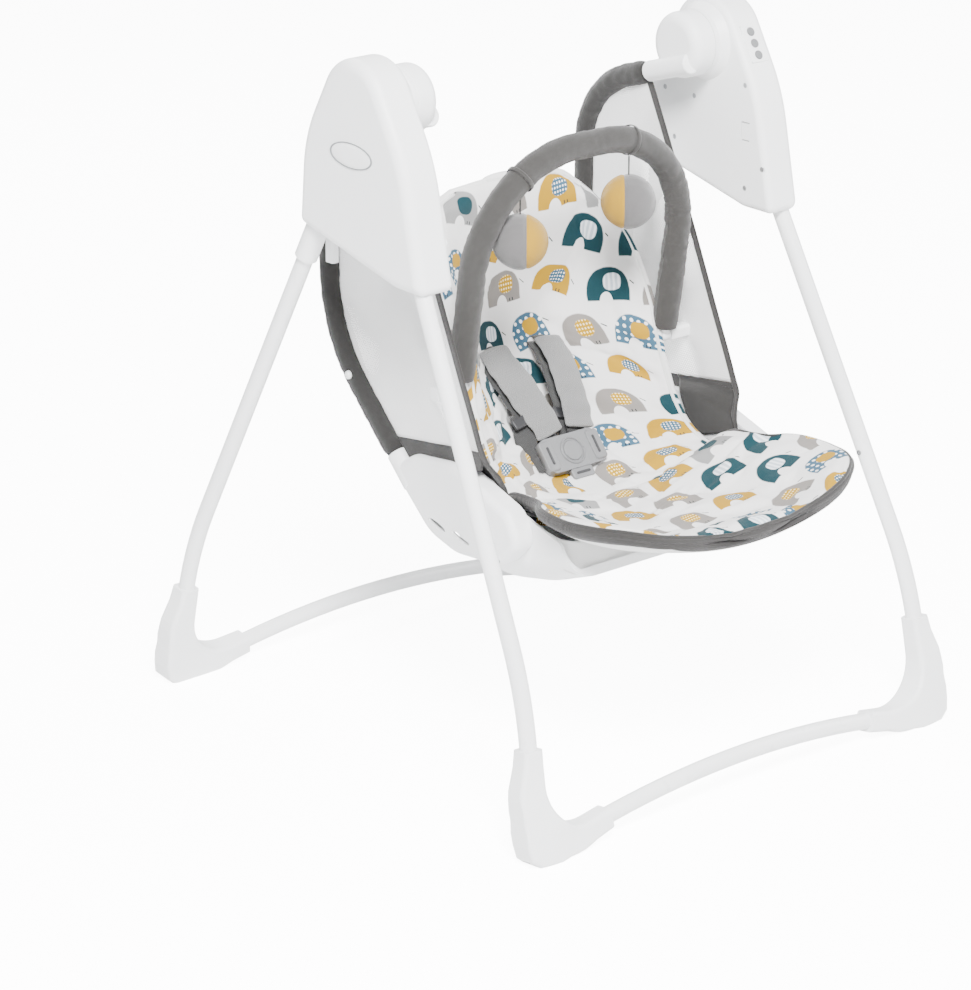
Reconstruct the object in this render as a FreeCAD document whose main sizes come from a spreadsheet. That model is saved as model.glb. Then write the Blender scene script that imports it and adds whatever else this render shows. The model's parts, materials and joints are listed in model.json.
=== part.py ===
import FreeCAD, Part
import math
import os
import Sketcher
from FreeCAD import Placement, Rotation, Vector

# Baby swing: an A-frame of bent steel tube, two plastic hub housings, and a padded seat
# that hangs from the hubs on two D-shaped hanger tubes.
# Millimetres. +Z is up, -Y is the front (the way the child faces), +X is the right side
# of the object seen from the front. The origin is on the floor, midway between the feet.

doc = FreeCAD.newDocument("baby_swing")
sheet = doc.addObject("Spreadsheet::Sheet", "dims")

DIMENSIONS = (
    # overall
    ("half_width", 319.0),
    ("half_depth", 347.45),
    ("hub_height", 749.0),
    ("top_radius", 52.9),
    # hub housings
    ("housing_inner_x", 232.0),
    ("housing_split_x", 256.0),
    ("housing_outer_x", 280.0),
    ("housing_wall", 2.5),
    ("housing_round", 12.0),
    ("housing_inner_round", 8.0),
    ("boss_end_x", 245.0),
    ("screw_head_diameter", 6.2),
    ("barrel_inner_x", 216.6),
    ("barrel_diameter", 76.0),
    # swing hubs
    ("hub_cap_inner_x", 186.0),
    ("hub_cap_outer_x", 216.0),
    ("hub_cap_round", 13.0),
    ("shaft_diameter", 12.0),
    ("shaft_outer_x", 262.0),
    ("bush_clearance", 0.05),
    ("bush_diameter", 20.0),
    # frame tubes
    ("tube_diameter", 19.0),
    ("tube_bore", 16.6),
    ("spigot_diameter", 16.5),
    ("spigot_bore", 14.0),
    ("leg_x", 263.0),
    ("leg_y", 99.0),
    ("leg_datum_z", 568.0),
    ("leg_splay", 0.0655),
    ("leg_lean", 0.5),
    ("leg_top_z", 600.0),
    ("leg_joint_z", 290.0),
    ("spigot_top_z", 328.0),
    ("knee_z", 166.7),
    ("knee_radius", 410.0),
    ("corner_x", 299.0),
    ("corner_y", 325.0),
    ("corner_z", 4.2),
    ("corner_radius", 60.0),
    ("floor_tube_rise", 0.181),
    ("floor_tube_radius", 1240.0),
    ("snap_z", 304.0),
    ("snap_diameter", 6.0),
    # rear leg fold joint
    ("fold_z", 625.0),
    ("bracket_diameter", 26.0),
    ("bracket_length", 62.0),
    ("fold_pin_diameter", 8.0),
    # seat hanger
    ("hanger_x", 190.0),
    ("hanger_diameter", 16.0),
    ("hanger_bore", 13.0),
    ("hanger_sleeve_diameter", 27.0),
    ("hanger_socket_diameter", 24.0),
    ("hanger_slope", 17.0),
    ("hanger_drop", 24.0),
    ("hanger_back_y", 151.0),
    ("hanger_top_radius", 100.0),
    ("hanger_low_radius", 175.0),
    ("hanger_low_z", 525.0),
    # seat base
    ("base_half_width", 176.0),
    ("base_wall", 3.0),
    ("base_round", 31.0),
    ("cover_inner_x", 176.3),
    ("cover_outer_x", 202.0),
    ("cover_round", 9.0),
    # soft parts
    ("pad_thickness", 18.0),
    ("seat_thickness", 14.0),
    ("panel_thickness", 2.0),
    ("strap_width", 25.0),
    ("strap_thickness", 1.6),
    # toy bar
    ("toy_bar_x", 152.0),
    ("toy_bar_y", 30.0),
    ("toy_bar_z", 436.0),
    ("toy_bar_lean", 8.8),
    ("toy_bar_side", 115.0),
    ("toy_bar_radius", 131.0),
    ("toy_bar_diameter", 30.0),
    ("toy_bar_core_diameter", 12.0),
    ("toy_bar_pivot_drop", 16.0),
    ("toy_bar_pin_diameter", 6.0),
    ("ball_diameter", 62.0),
    # swing drive
    ("gear_x", 254.0),
    ("gear_width", 8.0),
    ("gear_y", 12.0),
    ("gear_z", 690.0),
    ("gear_module", 1.0),
    ("motor_diameter", 27.0),
    ("cell_diameter", 26.2),
    ("cell_length", 50.0),
)
for row, (alias, value) in enumerate(DIMENSIONS, start=1):
    sheet.set(f"A{row}", alias)
    sheet.set(f"B{row}", str(value))
    sheet.setAlias(f"B{row}", alias)
doc.recompute()

SIDES = (("left", -1), ("right", 1))
AXIS_X = Rotation(Vector(0, 0, 1), Vector(1, 0, 0))
FIT_GAP = 0.05
nodes = []


def dim(alias):
    return float(sheet.get(alias))


def bind(feature, **formulas):
    """Tie properties of a feature to cells of the sheet."""
    for name, formula in formulas.items():
        feature.setExpression(name, formula)
    return feature


def node(feature, label):
    """Give a finished sub-part its name and put it on the list of files to write."""
    feature.Label = label
    nodes.append(feature)
    return feature


# ---------------------------------------------------------------- helpers: outlines and paths


def rounded(points, radii, closed=False):
    """Lines through the points, with an arc of the given radius at each corner, or none for 0."""
    if closed:
        points = [points[-1]] + points + points[:1]
    curves = []
    last = None if closed else points[0]
    for before, corner, after, radius in zip(points, points[1:], points[2:], radii):
        into = (corner - before).normalize()
        out = (after - corner).normalize()
        half_turn = into.getAngle(out) / 2
        reach = radius * math.tan(half_turn)
        start = corner - into * reach
        end = corner + out * reach
        if last is not None:
            curves.append(Part.LineSegment(last, start))
        else:
            first = start
        if radius:
            inward = (out - into).normalize()
            middle = corner + inward * (radius / math.cos(half_turn) - radius)
            curves.append(Part.Arc(start, middle, end))
        last = end
    curves.append(Part.LineSegment(last, first if closed else points[-1]))
    return curves


def wire(curves):
    return Part.Wire([curve.toShape() for curve in curves])


def new_body(name):
    return doc.addObject("PartDesign::Body", name)


def plane(body, role):
    return next(item for item in body.Origin.OriginFeatures if item.Role == role)


def body_sketch(body, role, name, curves, offset=None):
    """A sketch on one of the body's origin planes."""
    sketch = body.newObject("Sketcher::SketchObject", name)
    sketch.AttachmentSupport = (plane(body, role), [""])
    sketch.MapMode = "FlatFace"
    if offset is not None:
        sketch.AttachmentOffset = Placement(offset, Rotation())
    sketch.addGeometry(curves, False)
    return sketch


def circles_sketch(body, role, name, centre, formulas):
    """Concentric circles whose diameters come from the sheet."""
    sketch = body_sketch(body, role, name, [])
    for number, formula in enumerate(formulas):
        size = doc.dims.evalExpression(formula)
        sketch.addGeometry(Part.Circle(centre, Vector(0, 0, 1), float(size) / 2), False)
        sketch.addConstraint(Sketcher.Constraint("Diameter", number, float(size)))
        sketch.renameConstraint(number * 3, f"diameter{number}")
        sketch.setExpression(f"Constraints.diameter{number}", formula)
        sketch.addConstraint(Sketcher.Constraint("DistanceX", number, 3, centre.x))
        sketch.addConstraint(Sketcher.Constraint("DistanceY", number, 3, centre.y))
    return sketch


def pad(body, sketch, length, midplane=False, reverse=False):
    feature = body.newObject("PartDesign::Pad", f"{body.Name}_pad")
    feature.Profile = sketch
    feature.Midplane = midplane
    feature.Reversed = reverse
    feature.setExpression("Length", length)
    doc.recompute()
    return feature


def pipe(body, path, profile):
    feature = body.newObject("PartDesign::AdditivePipe", f"{body.Name}_pipe")
    feature.Profile = profile
    feature.Spine = (path, [f"Edge{n + 1}" for n in range(path.GeometryCount)])
    doc.recompute()
    return feature


def side_sketch(name, curves):
    """A free sketch in the plane of the swing's side view: sketch x is Y, sketch y is Z."""
    sketch = doc.addObject("Sketcher::SketchObject", name)
    sketch.Placement = Placement(Vector(0, 0, 0), Rotation(0.5, 0.5, 0.5, 0.5))
    sketch.addGeometry(curves, False)
    return sketch


def extrude_x(name, base, start, length):
    """Extrude a side sketch along X, from the plane X = start."""
    feature = doc.addObject("Part::Extrusion", name)
    feature.Base = base
    feature.Dir = Vector(1, 0, 0)
    feature.Solid = True
    bind(feature, LengthFwd=length)
    feature.setExpression("Placement.Base.x", start)
    doc.recompute()
    return feature


def cylinder(name, radius, height, place, **more):
    """Radius and height are sheet formulas."""
    feature = doc.addObject("Part::Cylinder", name)
    bind(feature, Radius=radius, Height=height)
    feature.Placement = place
    for prop, formula in more.items():
        feature.setExpression(prop.replace("_", "."), formula)
    doc.recompute()
    return feature


def along_x(x, y, z):
    return Placement(Vector(x, y, z), AXIS_X)


def box(name, low, high):
    feature = doc.addObject("Part::Box", name)
    feature.Length, feature.Width, feature.Height = (b - a for a, b in zip(low, high))
    feature.Placement.Base = Vector(*low)
    return feature


def group(kind, name, shapes):
    feature = doc.addObject(kind, name)
    feature.Shapes = shapes
    doc.recompute()
    return feature


def fuse(name, *shapes):
    return group("Part::MultiFuse", name, list(shapes))


def cut(name, base, *tools):
    feature = doc.addObject("Part::Cut", name)
    feature.Base = base
    feature.Tool = tools[0] if len(tools) == 1 else fuse(f"{name}_tools", *tools)
    doc.recompute()
    return feature


def mirror(name, source, normal):
    feature = doc.addObject("Part::Mirroring", name)
    feature.Source = source
    feature.Normal = normal
    doc.recompute()
    return feature


def round_edges(name, base, radius, wanted):
    """Fillet the edges of base that the test picks."""
    feature = doc.addObject("Part::Fillet", name)
    feature.Base = base
    edges = base.Shape.Edges
    feature.Edges = [(i + 1, radius, radius) for i, edge in enumerate(edges) if wanted(edge)]
    doc.recompute()
    return feature


def lies_at_x(x):
    return lambda edge: abs(edge.BoundBox.XMin - x) < 0.01 and abs(edge.BoundBox.XMax - x) < 0.01


def plain(name, shape):
    """A free-form piece whose shape is set by Part's own functions."""
    feature = doc.addObject("Part::Feature", name)
    feature.Shape = shape
    return feature


def swept(name, curves, formula):
    """A round bar along a path, its diameter tied to the sheet."""
    path = plain(f"{name}_path", wire(curves))
    ring = doc.addObject("Part::Circle", f"{name}_section")
    ring.setExpression("Radius", f"({formula}) / 2")
    start = curves[0].StartPoint
    direction = curves[0].EndPoint - start
    ring.Placement = Placement(start, Rotation(Vector(0, 0, 1), direction))
    feature = doc.addObject("Part::Sweep", name)
    feature.Sections = [ring]
    feature.Spine = (path, [f"Edge{n + 1}" for n in range(len(path.Shape.Edges))])
    feature.Solid = True
    feature.Frenet = False
    doc.recompute()
    return feature


# ---------------------------------------------------------------- frame tubes


def leg_point(z, side=1, front=-1):
    """A point on the straight upper stretch of a leg's centre line."""
    drop = dim("leg_datum_z") - z
    return Vector(
        side * (dim("leg_x") + dim("leg_splay") * drop),
        front * (dim("leg_y") + dim("leg_lean") * drop),
        z,
    )


def corner_point(side, front=-1):
    return Vector(side * dim("corner_x"), front * dim("corner_y"), dim("corner_z"))


def upper_leg(name):
    """Straight leg tube, from inside the housing down to its joint with the base tube."""
    top = leg_point(dim("leg_top_z"))
    foot = leg_point(dim("leg_joint_z"))
    line = [Part.LineSegment(top, foot)]
    outside = swept(f"{name}_outside", line, "dims.tube_diameter")
    inside = swept(f"{name}_bore", line, "dims.tube_bore")
    return cut(name, outside, inside)


def base_tube_path(top_z):
    """One bent tube: up each leg to its joint, round both feet, and arched over the floor."""
    corner = corner_point(1)
    crown_z = dim("corner_z") + dim("floor_tube_rise") * dim("corner_x")
    points = [leg_point(top_z), leg_point(dim("knee_z")), corner]
    left = [Vector(-p.x, p.y, p.z) for p in reversed(points)]
    crown = Vector(0, corner.y, crown_z)
    knee, turn = dim("knee_radius"), dim("corner_radius")
    return rounded(points + [crown] + left, [knee, turn, dim("floor_tube_radius"), turn, knee])


def spigot_paths():
    for label, side in SIDES:
        low = leg_point(dim("leg_joint_z"), side)
        high = leg_point(dim("spigot_top_z"), side)
        yield label, [Part.LineSegment(low, high)]


def snap_place(side, depth):
    """Where a snap button's axis starts, depth millimetres in from the tube's inner side."""
    centre = leg_point(dim("snap_z"), side)
    inner = centre.x - side * dim("tube_diameter") / 2
    turn = Rotation(Vector(0, 0, 1), Vector(-side, 0, 0))
    return Placement(Vector(inner + side * depth, centre.y, centre.z), turn)


SNAP_DEPTH = 4.0
SNAP_PROUD = 2.0
SNAP_HOLE_DEPTH = 6.0
plain_leg = upper_leg("leg_tube")
snap_holes = {
    label: cylinder(
        f"snap_hole_{label}",
        f"dims.snap_diameter / 2 + {FIT_GAP}",
        str(2 * SNAP_HOLE_DEPTH),
        snap_place(side, SNAP_HOLE_DEPTH),
    )
    for label, side in SIDES
}
node(cut("leg_with_hole", plain_leg, snap_holes["right"]), "front_leg_right")
node(mirror("front_leg_mirror", nodes[-1], Vector(1, 0, 0)), "front_leg_left")
rear_leg = mirror("rear_leg", plain_leg, Vector(0, 1, 0))
node(rear_leg, "rear_leg_right")
node(mirror("rear_leg_mirror", rear_leg, Vector(1, 0, 0)), "rear_leg_left")

base_outside = swept("base_outside", base_tube_path(dim("leg_joint_z")), "dims.tube_diameter")
base_bore = swept("base_bore", base_tube_path(dim("leg_joint_z")), "dims.tube_bore")
spigots = [swept(f"spigot_{n}", p, "dims.spigot_diameter") for n, p in spigot_paths()]
spigot_bores = [swept(f"spigot_bore_{n}", p, "dims.spigot_bore") for n, p in spigot_paths()]
# each end is swaged down: a solid plug under the joint is bored through at the spigot's size
base_plugs = [
    swept(
        f"swage_{label}",
        [Part.LineSegment(leg_point(dim("leg_joint_z") - 3, side), leg_point(dim("leg_joint_z"), side))],
        "dims.tube_bore + 0.4",
    )
    for label, side in SIDES
]
swage_bores = [
    swept(
        f"swage_bore_{label}",
        [Part.LineSegment(leg_point(dim("leg_joint_z") - 4, side), leg_point(dim("spigot_top_z"), side))],
        "dims.spigot_bore",
    )
    for label, side in SIDES
]
base_hollow = cut("base_hollow", base_outside, base_bore)
base_ends = fuse("base_ends", base_hollow, *base_plugs, *spigots)
plain_base = cut("base_tube", base_ends, *swage_bores)
front_base = cut("base_with_holes", plain_base, *snap_holes.values())
node(front_base, "front_base_tube")
node(mirror("rear_base", plain_base, Vector(0, 1, 0)), "rear_base_tube")


def snap_button(label, side):
    """Spring button that locks a leg tube on the base tube."""
    height = SNAP_DEPTH + SNAP_PROUD
    rod = cylinder(f"snap_rod_{label}", "dims.snap_diameter / 2", str(height), snap_place(side, SNAP_DEPTH))
    tip = snap_place(side, SNAP_DEPTH).Base.x - side * height
    return round_edges(f"snap_{label}", rod, 1.6, lies_at_x(tip))


for label, side in SIDES:
    node(snap_button(label, side), f"snap_button_{label}")

# ---------------------------------------------------------------- feet


def foot_section(centre, out, across, inner, outer, back, front):
    """Rounded rectangle across a tube: out is away from the bend, across is fore and aft."""
    corners = ((-inner, -back), (outer, -back), (outer, front), (-inner, front))
    points = [centre + out * a + across * b for a, b in corners]
    return wire(rounded(points, [5.5] * 4, closed=True))


BEND_STEPS = 14


def smooth_table(rows, at):
    """Values between the rows of a table, eased from row to row."""
    for low, high in zip(rows, rows[1:]):
        if at <= high[0]:
            break
    share = (at - low[0]) / (high[0] - low[0])
    share = share * share * (3 - 2 * share) * 0.5 + share * 0.5
    return [a + (b - a) * share for a, b in zip(low[1:], high[1:])]


def foot_shape():
    """Boot-shaped plastic foot moulded round the front right bend of a base tube."""
    corner = corner_point(1)
    knee = leg_point(dim("knee_z"))
    crown_z = dim("corner_z") + dim("floor_tube_rise") * dim("corner_x")
    down = (corner - knee).normalize()
    along = (Vector(0, corner.y, crown_z) - corner).normalize()
    half_turn = down.getAngle(along) / 2
    radius = dim("corner_radius")
    bend_start = corner - down * radius * math.tan(half_turn)
    bend_end = corner + along * radius * math.tan(half_turn)
    across = along.cross(down).normalize()
    if across.y > 0:
        across = across * -1
    middle = corner + (along - down).normalize() * (radius / math.cos(half_turn))
    inner, back = 11.5, 12.5
    # how far the foot stands out of the tube's axis, outward and forward, round the bend
    bend_sections = (
        (0.0, 23.0, 15.0),
        (0.2, 28.0, 18.0),
        (0.36, 41.0, 20.5),
        (0.46, 49.5, 22.0),
        (0.58, 37.0, 21.5),
        (0.75, 21.5, 19.0),
        (1.0, 13.0, 16.0),
    )
    start_arm = bend_start - middle
    sections = []
    for back_off, outer, front in ((42.0, 12.5, 12.5), (24.0, 15.5, 13.2)):
        out = (bend_start - middle).normalize()
        sections.append(foot_section(bend_start - down * back_off, out, across, inner, outer, back, front))
    turn_axis = start_arm.cross(bend_end - middle).normalize()
    for step in range(BEND_STEPS + 1):
        share = step / BEND_STEPS
        outer, front = smooth_table(bend_sections, share)
        spin = Rotation(turn_axis, math.degrees(2 * half_turn) * share)
        arm = spin.multVec(start_arm)
        sections.append(
            foot_section(middle + arm, Vector(arm).normalize(), across, inner, outer, back, front)
        )
    out = (bend_end - middle).normalize()
    sections.append(foot_section(bend_end + along * 26.0, out, across, inner, 12.5, back, 12.5))
    return Part.makeLoft(sections, True, True)


foot_block = plain("foot_block", foot_shape())
foot_limits = box(
    "foot_limits",
    (0, -dim("half_depth"), 0),
    (dim("half_width"), 0, 300),
)
foot_trimmed = doc.addObject("Part::Common", "foot_trimmed")
foot_trimmed.Base = foot_block
foot_trimmed.Tool = foot_limits
foot_bore = swept("foot_bore", base_tube_path(dim("leg_joint_z")), f"dims.tube_diameter + {FIT_GAP}")
foot = node(cut("foot", foot_trimmed, foot_bore), "front_foot_right")
node(mirror("front_foot_mirror", foot, Vector(1, 0, 0)), "front_foot_left")
rear_foot = node(mirror("rear_foot", foot, Vector(0, 1, 0)), "rear_foot_right")
node(mirror("rear_foot_mirror", rear_foot, Vector(1, 0, 0)), "rear_foot_left")

# ---------------------------------------------------------------- hub housings

HUB = Vector(0, dim("hub_height"), 0)
SHOULDER_TILT = 30.0


def housing_outline(inset=0.0):
    """Side view of a hub housing: a round top about the hub, flaring down to a slanted base."""
    radius = dim("top_radius")
    tilt = math.radians(SHOULDER_TILT)
    apex = Vector(0, HUB.y + (radius - inset) / math.sin(tilt), 0)
    slope = Vector(math.sin(tilt), math.cos(tilt), 0)
    front_shoulder = Vector(-89.4 + inset, 700.0, 0)
    front_shoulder.y = apex.y + front_shoulder.x * slope.y / slope.x
    rear_shoulder = Vector(86.0 - inset, 0, 0)
    rear_shoulder.y = apex.y - rear_shoulder.x * slope.y / slope.x
    points = [
        Vector(-117.0 + inset, 566.0 + inset, 0),
        front_shoulder,
        apex,
        rear_shoulder,
        Vector(95.0 - inset, 606.0 + inset, 0),
        Vector(-68.0, 566.5 + inset, 0),
    ]
    radii = [8.0, 220.0, radius - inset, 160.0, 10.0, 40.0]
    return rounded(points, radii, closed=True)


outline = side_sketch("housing_outline", housing_outline())
cavity_outline = side_sketch("housing_cavity_outline", housing_outline(dim("housing_wall")))
HALF = "dims.housing_split_x - dims.housing_inner_x"
HALF_CAVITY = "dims.housing_split_x - dims.housing_inner_x - dims.housing_wall"


def housing_half(name, start, cavity_start, face_x, cavity_x, radius):
    """One moulded half: rounded block, less its rounded cavity."""
    block = extrude_x(f"{name}_block", outline, start, HALF)
    block = round_edges(f"{name}_rounded", block, radius, lies_at_x(face_x))
    cavity = extrude_x(f"{name}_cavity", cavity_outline, cavity_start, HALF_CAVITY)
    cavity = round_edges(f"{name}_cavity_rounded", cavity, radius - dim("housing_wall"), lies_at_x(cavity_x))
    return block, cavity


outer_block, outer_cavity = housing_half(
    "outer_half",
    "dims.housing_split_x",
    "dims.housing_split_x",
    dim("housing_outer_x"),
    dim("housing_outer_x") - dim("housing_wall"),
    dim("housing_round"),
)
inner_block, inner_cavity = housing_half(
    "inner_half",
    "dims.housing_inner_x",
    "dims.housing_inner_x + dims.housing_wall",
    dim("housing_inner_x"),
    dim("housing_inner_x") + dim("housing_wall"),
    dim("housing_inner_round"),
)

# screw bosses stand inside the inner half, at (y, z)
SCREWS = ((13, 682), (-70, 709), (45, 628), (-100, 617), (-73, 590), (62, 684))
BARREL_WALL_X = 222.0
FLARE_X = 223.0
FLARE_END_X = 237.0
FLARE_RADIUS = 49.0
LATCH_LOW = (235.0, 78.0, 556.0)
LATCH_HIGH = (245.2, 92.0, 612.0)
FOLD_Y = -leg_point(dim("fold_z")).y


def leg_passage(front, reach):
    """Hole round a leg tube where it enters the housing."""
    line = [Part.LineSegment(leg_point(dim("leg_top_z") + reach, 1, front), leg_point(520, 1, front))]
    return swept(f"leg_passage_{'front' if front < 0 else 'rear'}", line, "dims.tube_diameter + 0.6")


def inner_half():
    """Inner half with the fixed barrel that carries the swing hub."""
    hub_y, hub_z = 0, dim("hub_height")
    barrel = cylinder(
        "barrel", "dims.barrel_diameter / 2", f"{FLARE_END_X} - dims.barrel_inner_x",
        along_x(dim("barrel_inner_x"), hub_y, hub_z),
    )
    flare = doc.addObject("Part::Cone", "barrel_flare")
    bind(flare, Radius1="dims.barrel_diameter / 2", Height=str(FLARE_END_X - FLARE_X))
    flare.Radius2 = FLARE_RADIUS
    flare.Placement = along_x(FLARE_X, hub_y, hub_z)
    barrel_cavity = cylinder("barrel_cavity", "34", "20", along_x(BARREL_WALL_X, hub_y, hub_z))
    bush_seat = cylinder("bush_seat", "dims.bush_diameter / 2", "30", along_x(210, hub_y, hub_z))
    bosses = []
    screw_bores = []
    for number, (y, z) in enumerate(SCREWS):
        start = dim("housing_inner_x") + 1
        bosses.append(cylinder(
            f"boss_{number}", "4.6", "dims.boss_end_x - dims.housing_inner_x - 1", along_x(start, y, z)
        ))
        screw_bores.append(cylinder(
            f"screw_well_{number}", "dims.screw_head_diameter / 2", "4", along_x(230, y, z)
        ))
        screw_bores.append(cylinder(f"screw_pilot_{number}", "1.5", "20", along_x(230, y, z)))
    shell = cut("inner_shell", inner_block, inner_cavity)
    body = fuse("inner_shell_with_barrel", shell, barrel, flare, *bosses)
    latch_slot = box(
        "latch_slot",
        tuple(v - 0.4 for v in LATCH_LOW),
        (LATCH_HIGH[0] + 0.4, LATCH_HIGH[1] + 0.4, 640.0),
    )
    return cut("inner_half", body, barrel_cavity, bush_seat, *screw_bores, latch_slot, *leg_slots)


# the rear leg folds through a slot in the base and rear wall of the housing
FOLD_SLOT_LOW = (246.9, 6.0, 540.0)
FOLD_SLOT_HIGH = (277.0, 130.0, 642.0)
leg_slots = [box("fold_slot", FOLD_SLOT_LOW, FOLD_SLOT_HIGH), leg_passage(-1, 10.0)]
plain_outer = cut("outer_half", outer_block, outer_cavity, *leg_slots)
plain_inner = inner_half()
node(mirror("housing_outer_left_mirror", plain_outer, Vector(1, 0, 0)), "housing_outer_left")
node(mirror("housing_inner_left_mirror", plain_inner, Vector(1, 0, 0)), "housing_inner_left")

# control panel on the front slope of the right housing
PANEL_CENTRE = Vector(255.0, -59.4, 752.0)
PANEL_TURN = Rotation(Vector(1, 0, 0), 90 - SHOULDER_TILT)
PANEL_SIZE = (26.0, 44.0)
PANEL_DEPTH = 4.0
PANEL_PROUD = 1.0


def on_slope(u, v, n):
    """A point given across, up along the slope, and out of it."""
    return PANEL_CENTRE + PANEL_TURN.multVec(Vector(u, v, n))


def slope_box(name, width, length, low, high):
    feature = doc.addObject("Part::Box", name)
    feature.Length, feature.Width, feature.Height = width, length, high - low
    feature.Placement = Placement(on_slope(-width / 2, -length / 2, low), PANEL_TURN)
    doc.recompute()
    return feature


def slope_cylinder(name, v, radius, low, high):
    feature = doc.addObject("Part::Cylinder", name)
    feature.Radius = radius
    feature.Height = high - low
    feature.Placement = Placement(on_slope(0, v, low), PANEL_TURN)
    doc.recompute()
    return feature


BUTTONS = (("power_button", 14.0), ("speed_button", 0.0), ("music_button", -14.0))
BUTTON_RADIUS = 5.2
panel_hole = slope_box("panel_hole", PANEL_SIZE[0] + 0.1, PANEL_SIZE[1] + 0.1, -12.0, 12.0)
panel_block = slope_box("panel_block", *PANEL_SIZE, -PANEL_DEPTH, PANEL_PROUD)
panel_round = round_edges(
    "panel_round", panel_block, 3.0,
    lambda edge: abs((edge.Vertexes[1].Point - edge.Vertexes[0].Point).dot(
        PANEL_TURN.multVec(Vector(0, 0, 1)))) > 4.9,
)
button_holes = [
    slope_cylinder(f"{name}_hole", v, BUTTON_RADIUS + 0.1, -20, 20) for name, v in BUTTONS
]
node(cut("panel_plate", panel_round, *button_holes), "control_panel")
for name, v in BUTTONS:
    stem = slope_cylinder(f"{name}_stem", v, BUTTON_RADIUS, -7.0, 2.6)
    crown = stem.Shape.Faces
    top = on_slope(0, v, 2.6)
    node(
        round_edges(
            name, stem, 1.2,
            lambda edge, top=top: edge.Closed and edge.CenterOfMass.distanceToPoint(top) < 0.2,
        ),
        name,
    )
node(slope_box("board", 24.0, 42.0, -15.6, -14.0), "circuit_board")

# battery bay in the right housing, behind a hinged door in its outer face
DOOR_Y = (-70.0, -8.0)
DOOR_Z = (598.0, 690.0)
DOOR_THICKNESS = 3.0
DOOR_GAP = 0.6
door_x = dim("housing_outer_x") - DOOR_THICKNESS
door_opening = box(
    "door_opening",
    (door_x - 6, DOOR_Y[0] - DOOR_GAP, DOOR_Z[0] - DOOR_GAP),
    (door_x + 10, DOOR_Y[1] + DOOR_GAP, DOOR_Z[1] + DOOR_GAP),
)
gear_stud = cylinder(
    "gear_stud", "3", f"dims.housing_outer_x - dims.gear_x + {dim('gear_width') - 8 - 1}",
    along_x(dim("gear_x"), dim("gear_y"), dim("gear_z")),
)
outer_right = cut("outer_half_right", plain_outer, panel_hole, door_opening)
node(fuse("outer_half_with_stud", outer_right, gear_stud), "housing_outer_right")


def snap_tab_slot():
    """U-shaped slot that frees a snap tab in the inner face of the right housing."""
    low, high = (228.0, -79.0, 645.0), (236.0, -65.0, 667.0)
    block = box("tab_block", low, high)
    core = box("tab_core", (low[0], low[1] - 2, low[2] + 1.4), (high[0], high[1] - 1.4, high[2] - 1.4))
    return cut("tab_slot", block, core)


node(cut("inner_half_right", plain_inner, panel_hole, snap_tab_slot()), "housing_inner_right")

door_plate = box(
    "door_plate",
    (door_x, DOOR_Y[0], DOOR_Z[0] + DOOR_THICKNESS / 2),
    (door_x + DOOR_THICKNESS, DOOR_Y[1], DOOR_Z[1]),
)
door_knuckle = doc.addObject("Part::Cylinder", "door_knuckle")
door_knuckle.Radius = DOOR_THICKNESS / 2
door_knuckle.Height = DOOR_Y[1] - DOOR_Y[0]
door_knuckle.Placement = Placement(
    Vector(door_x + DOOR_THICKNESS / 2, DOOR_Y[1], DOOR_Z[0] + DOOR_THICKNESS / 2),
    Rotation(Vector(1, 0, 0), 90),
)
node(fuse("door", door_plate, door_knuckle), "battery_door")

CELLS = [(y, z) for y in (-52.0, -25.0) for z in (592.0, 643.0)]
cells = []
for number, (y, z) in enumerate(CELLS):
    spot = Placement(Vector(dim("housing_split_x"), y, z), Rotation())
    cells.append(cylinder(f"cell_{number}", "dims.cell_diameter / 2", "dims.cell_length - 1.5", spot))
    cap = Placement(Vector(dim("housing_split_x"), y, z + dim("cell_length") - 1.5), Rotation())
    tip = cylinder(f"cell_tip_{number}", "3", "1.3", cap)
    cells[-1] = fuse(f"cell_with_tip_{number}", cells[-1], tip)
cell_set = doc.addObject("Part::Compound", "cells")
cell_set.Links = cells
node(cell_set, "battery_cells")

screws = []
for label, side in SIDES:
    for number, (y, z) in enumerate(SCREWS):
        turn = Rotation(Vector(0, 0, 1), Vector(side, 0, 0))
        head = cylinder(
            f"screw_head_{label}_{number}", "dims.screw_head_diameter / 2", "1.8",
            Placement(Vector(side * 232.2, y, z), turn),
        )
        shank = cylinder(
            f"screw_shank_{label}_{number}", "1.5", "10", Placement(Vector(side * 234, y, z), turn)
        )
        screws.append(fuse(f"screw_{label}_{number}", head, shank))
screw_set = doc.addObject("Part::Compound", "screws")
screw_set.Links = screws
node(screw_set, "housing_screws")


def both_sides(name, label, solid):
    """A node of two like pieces, one in each housing."""
    pair = doc.addObject("Part::Compound", name)
    pair.Links = [solid, mirror(f"{name}_left", solid, Vector(1, 0, 0))]
    doc.recompute()
    return node(pair, label)


bush_body = new_body("hub_bush")
hub_bush_profile = rounded(
    [
        Vector(dim("barrel_inner_x"), dim("shaft_diameter") / 2 + dim("bush_clearance"), 0),
        Vector(BARREL_WALL_X + 2, dim("shaft_diameter") / 2 + dim("bush_clearance"), 0),
        Vector(BARREL_WALL_X + 2, 13, 0),
        Vector(BARREL_WALL_X, 13, 0),
        Vector(BARREL_WALL_X, dim("bush_diameter") / 2, 0),
        Vector(dim("barrel_inner_x"), dim("bush_diameter") / 2, 0),
    ],
    [0.3, 0.3, 0.3, 0.3, 0, 0.3],
    closed=True,
)
bush_sketch = body_sketch(bush_body, "XZ_Plane", "bush_profile", hub_bush_profile)
bush_turn = bush_body.newObject("PartDesign::Revolution", "bush_turn")
bush_turn.Profile = bush_sketch
bush_turn.ReferenceAxis = (bush_sketch, ["H_Axis"])
bush_turn.Angle = 360
bush_body.setExpression("Placement.Base.z", "dims.hub_height")
doc.recompute()
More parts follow.
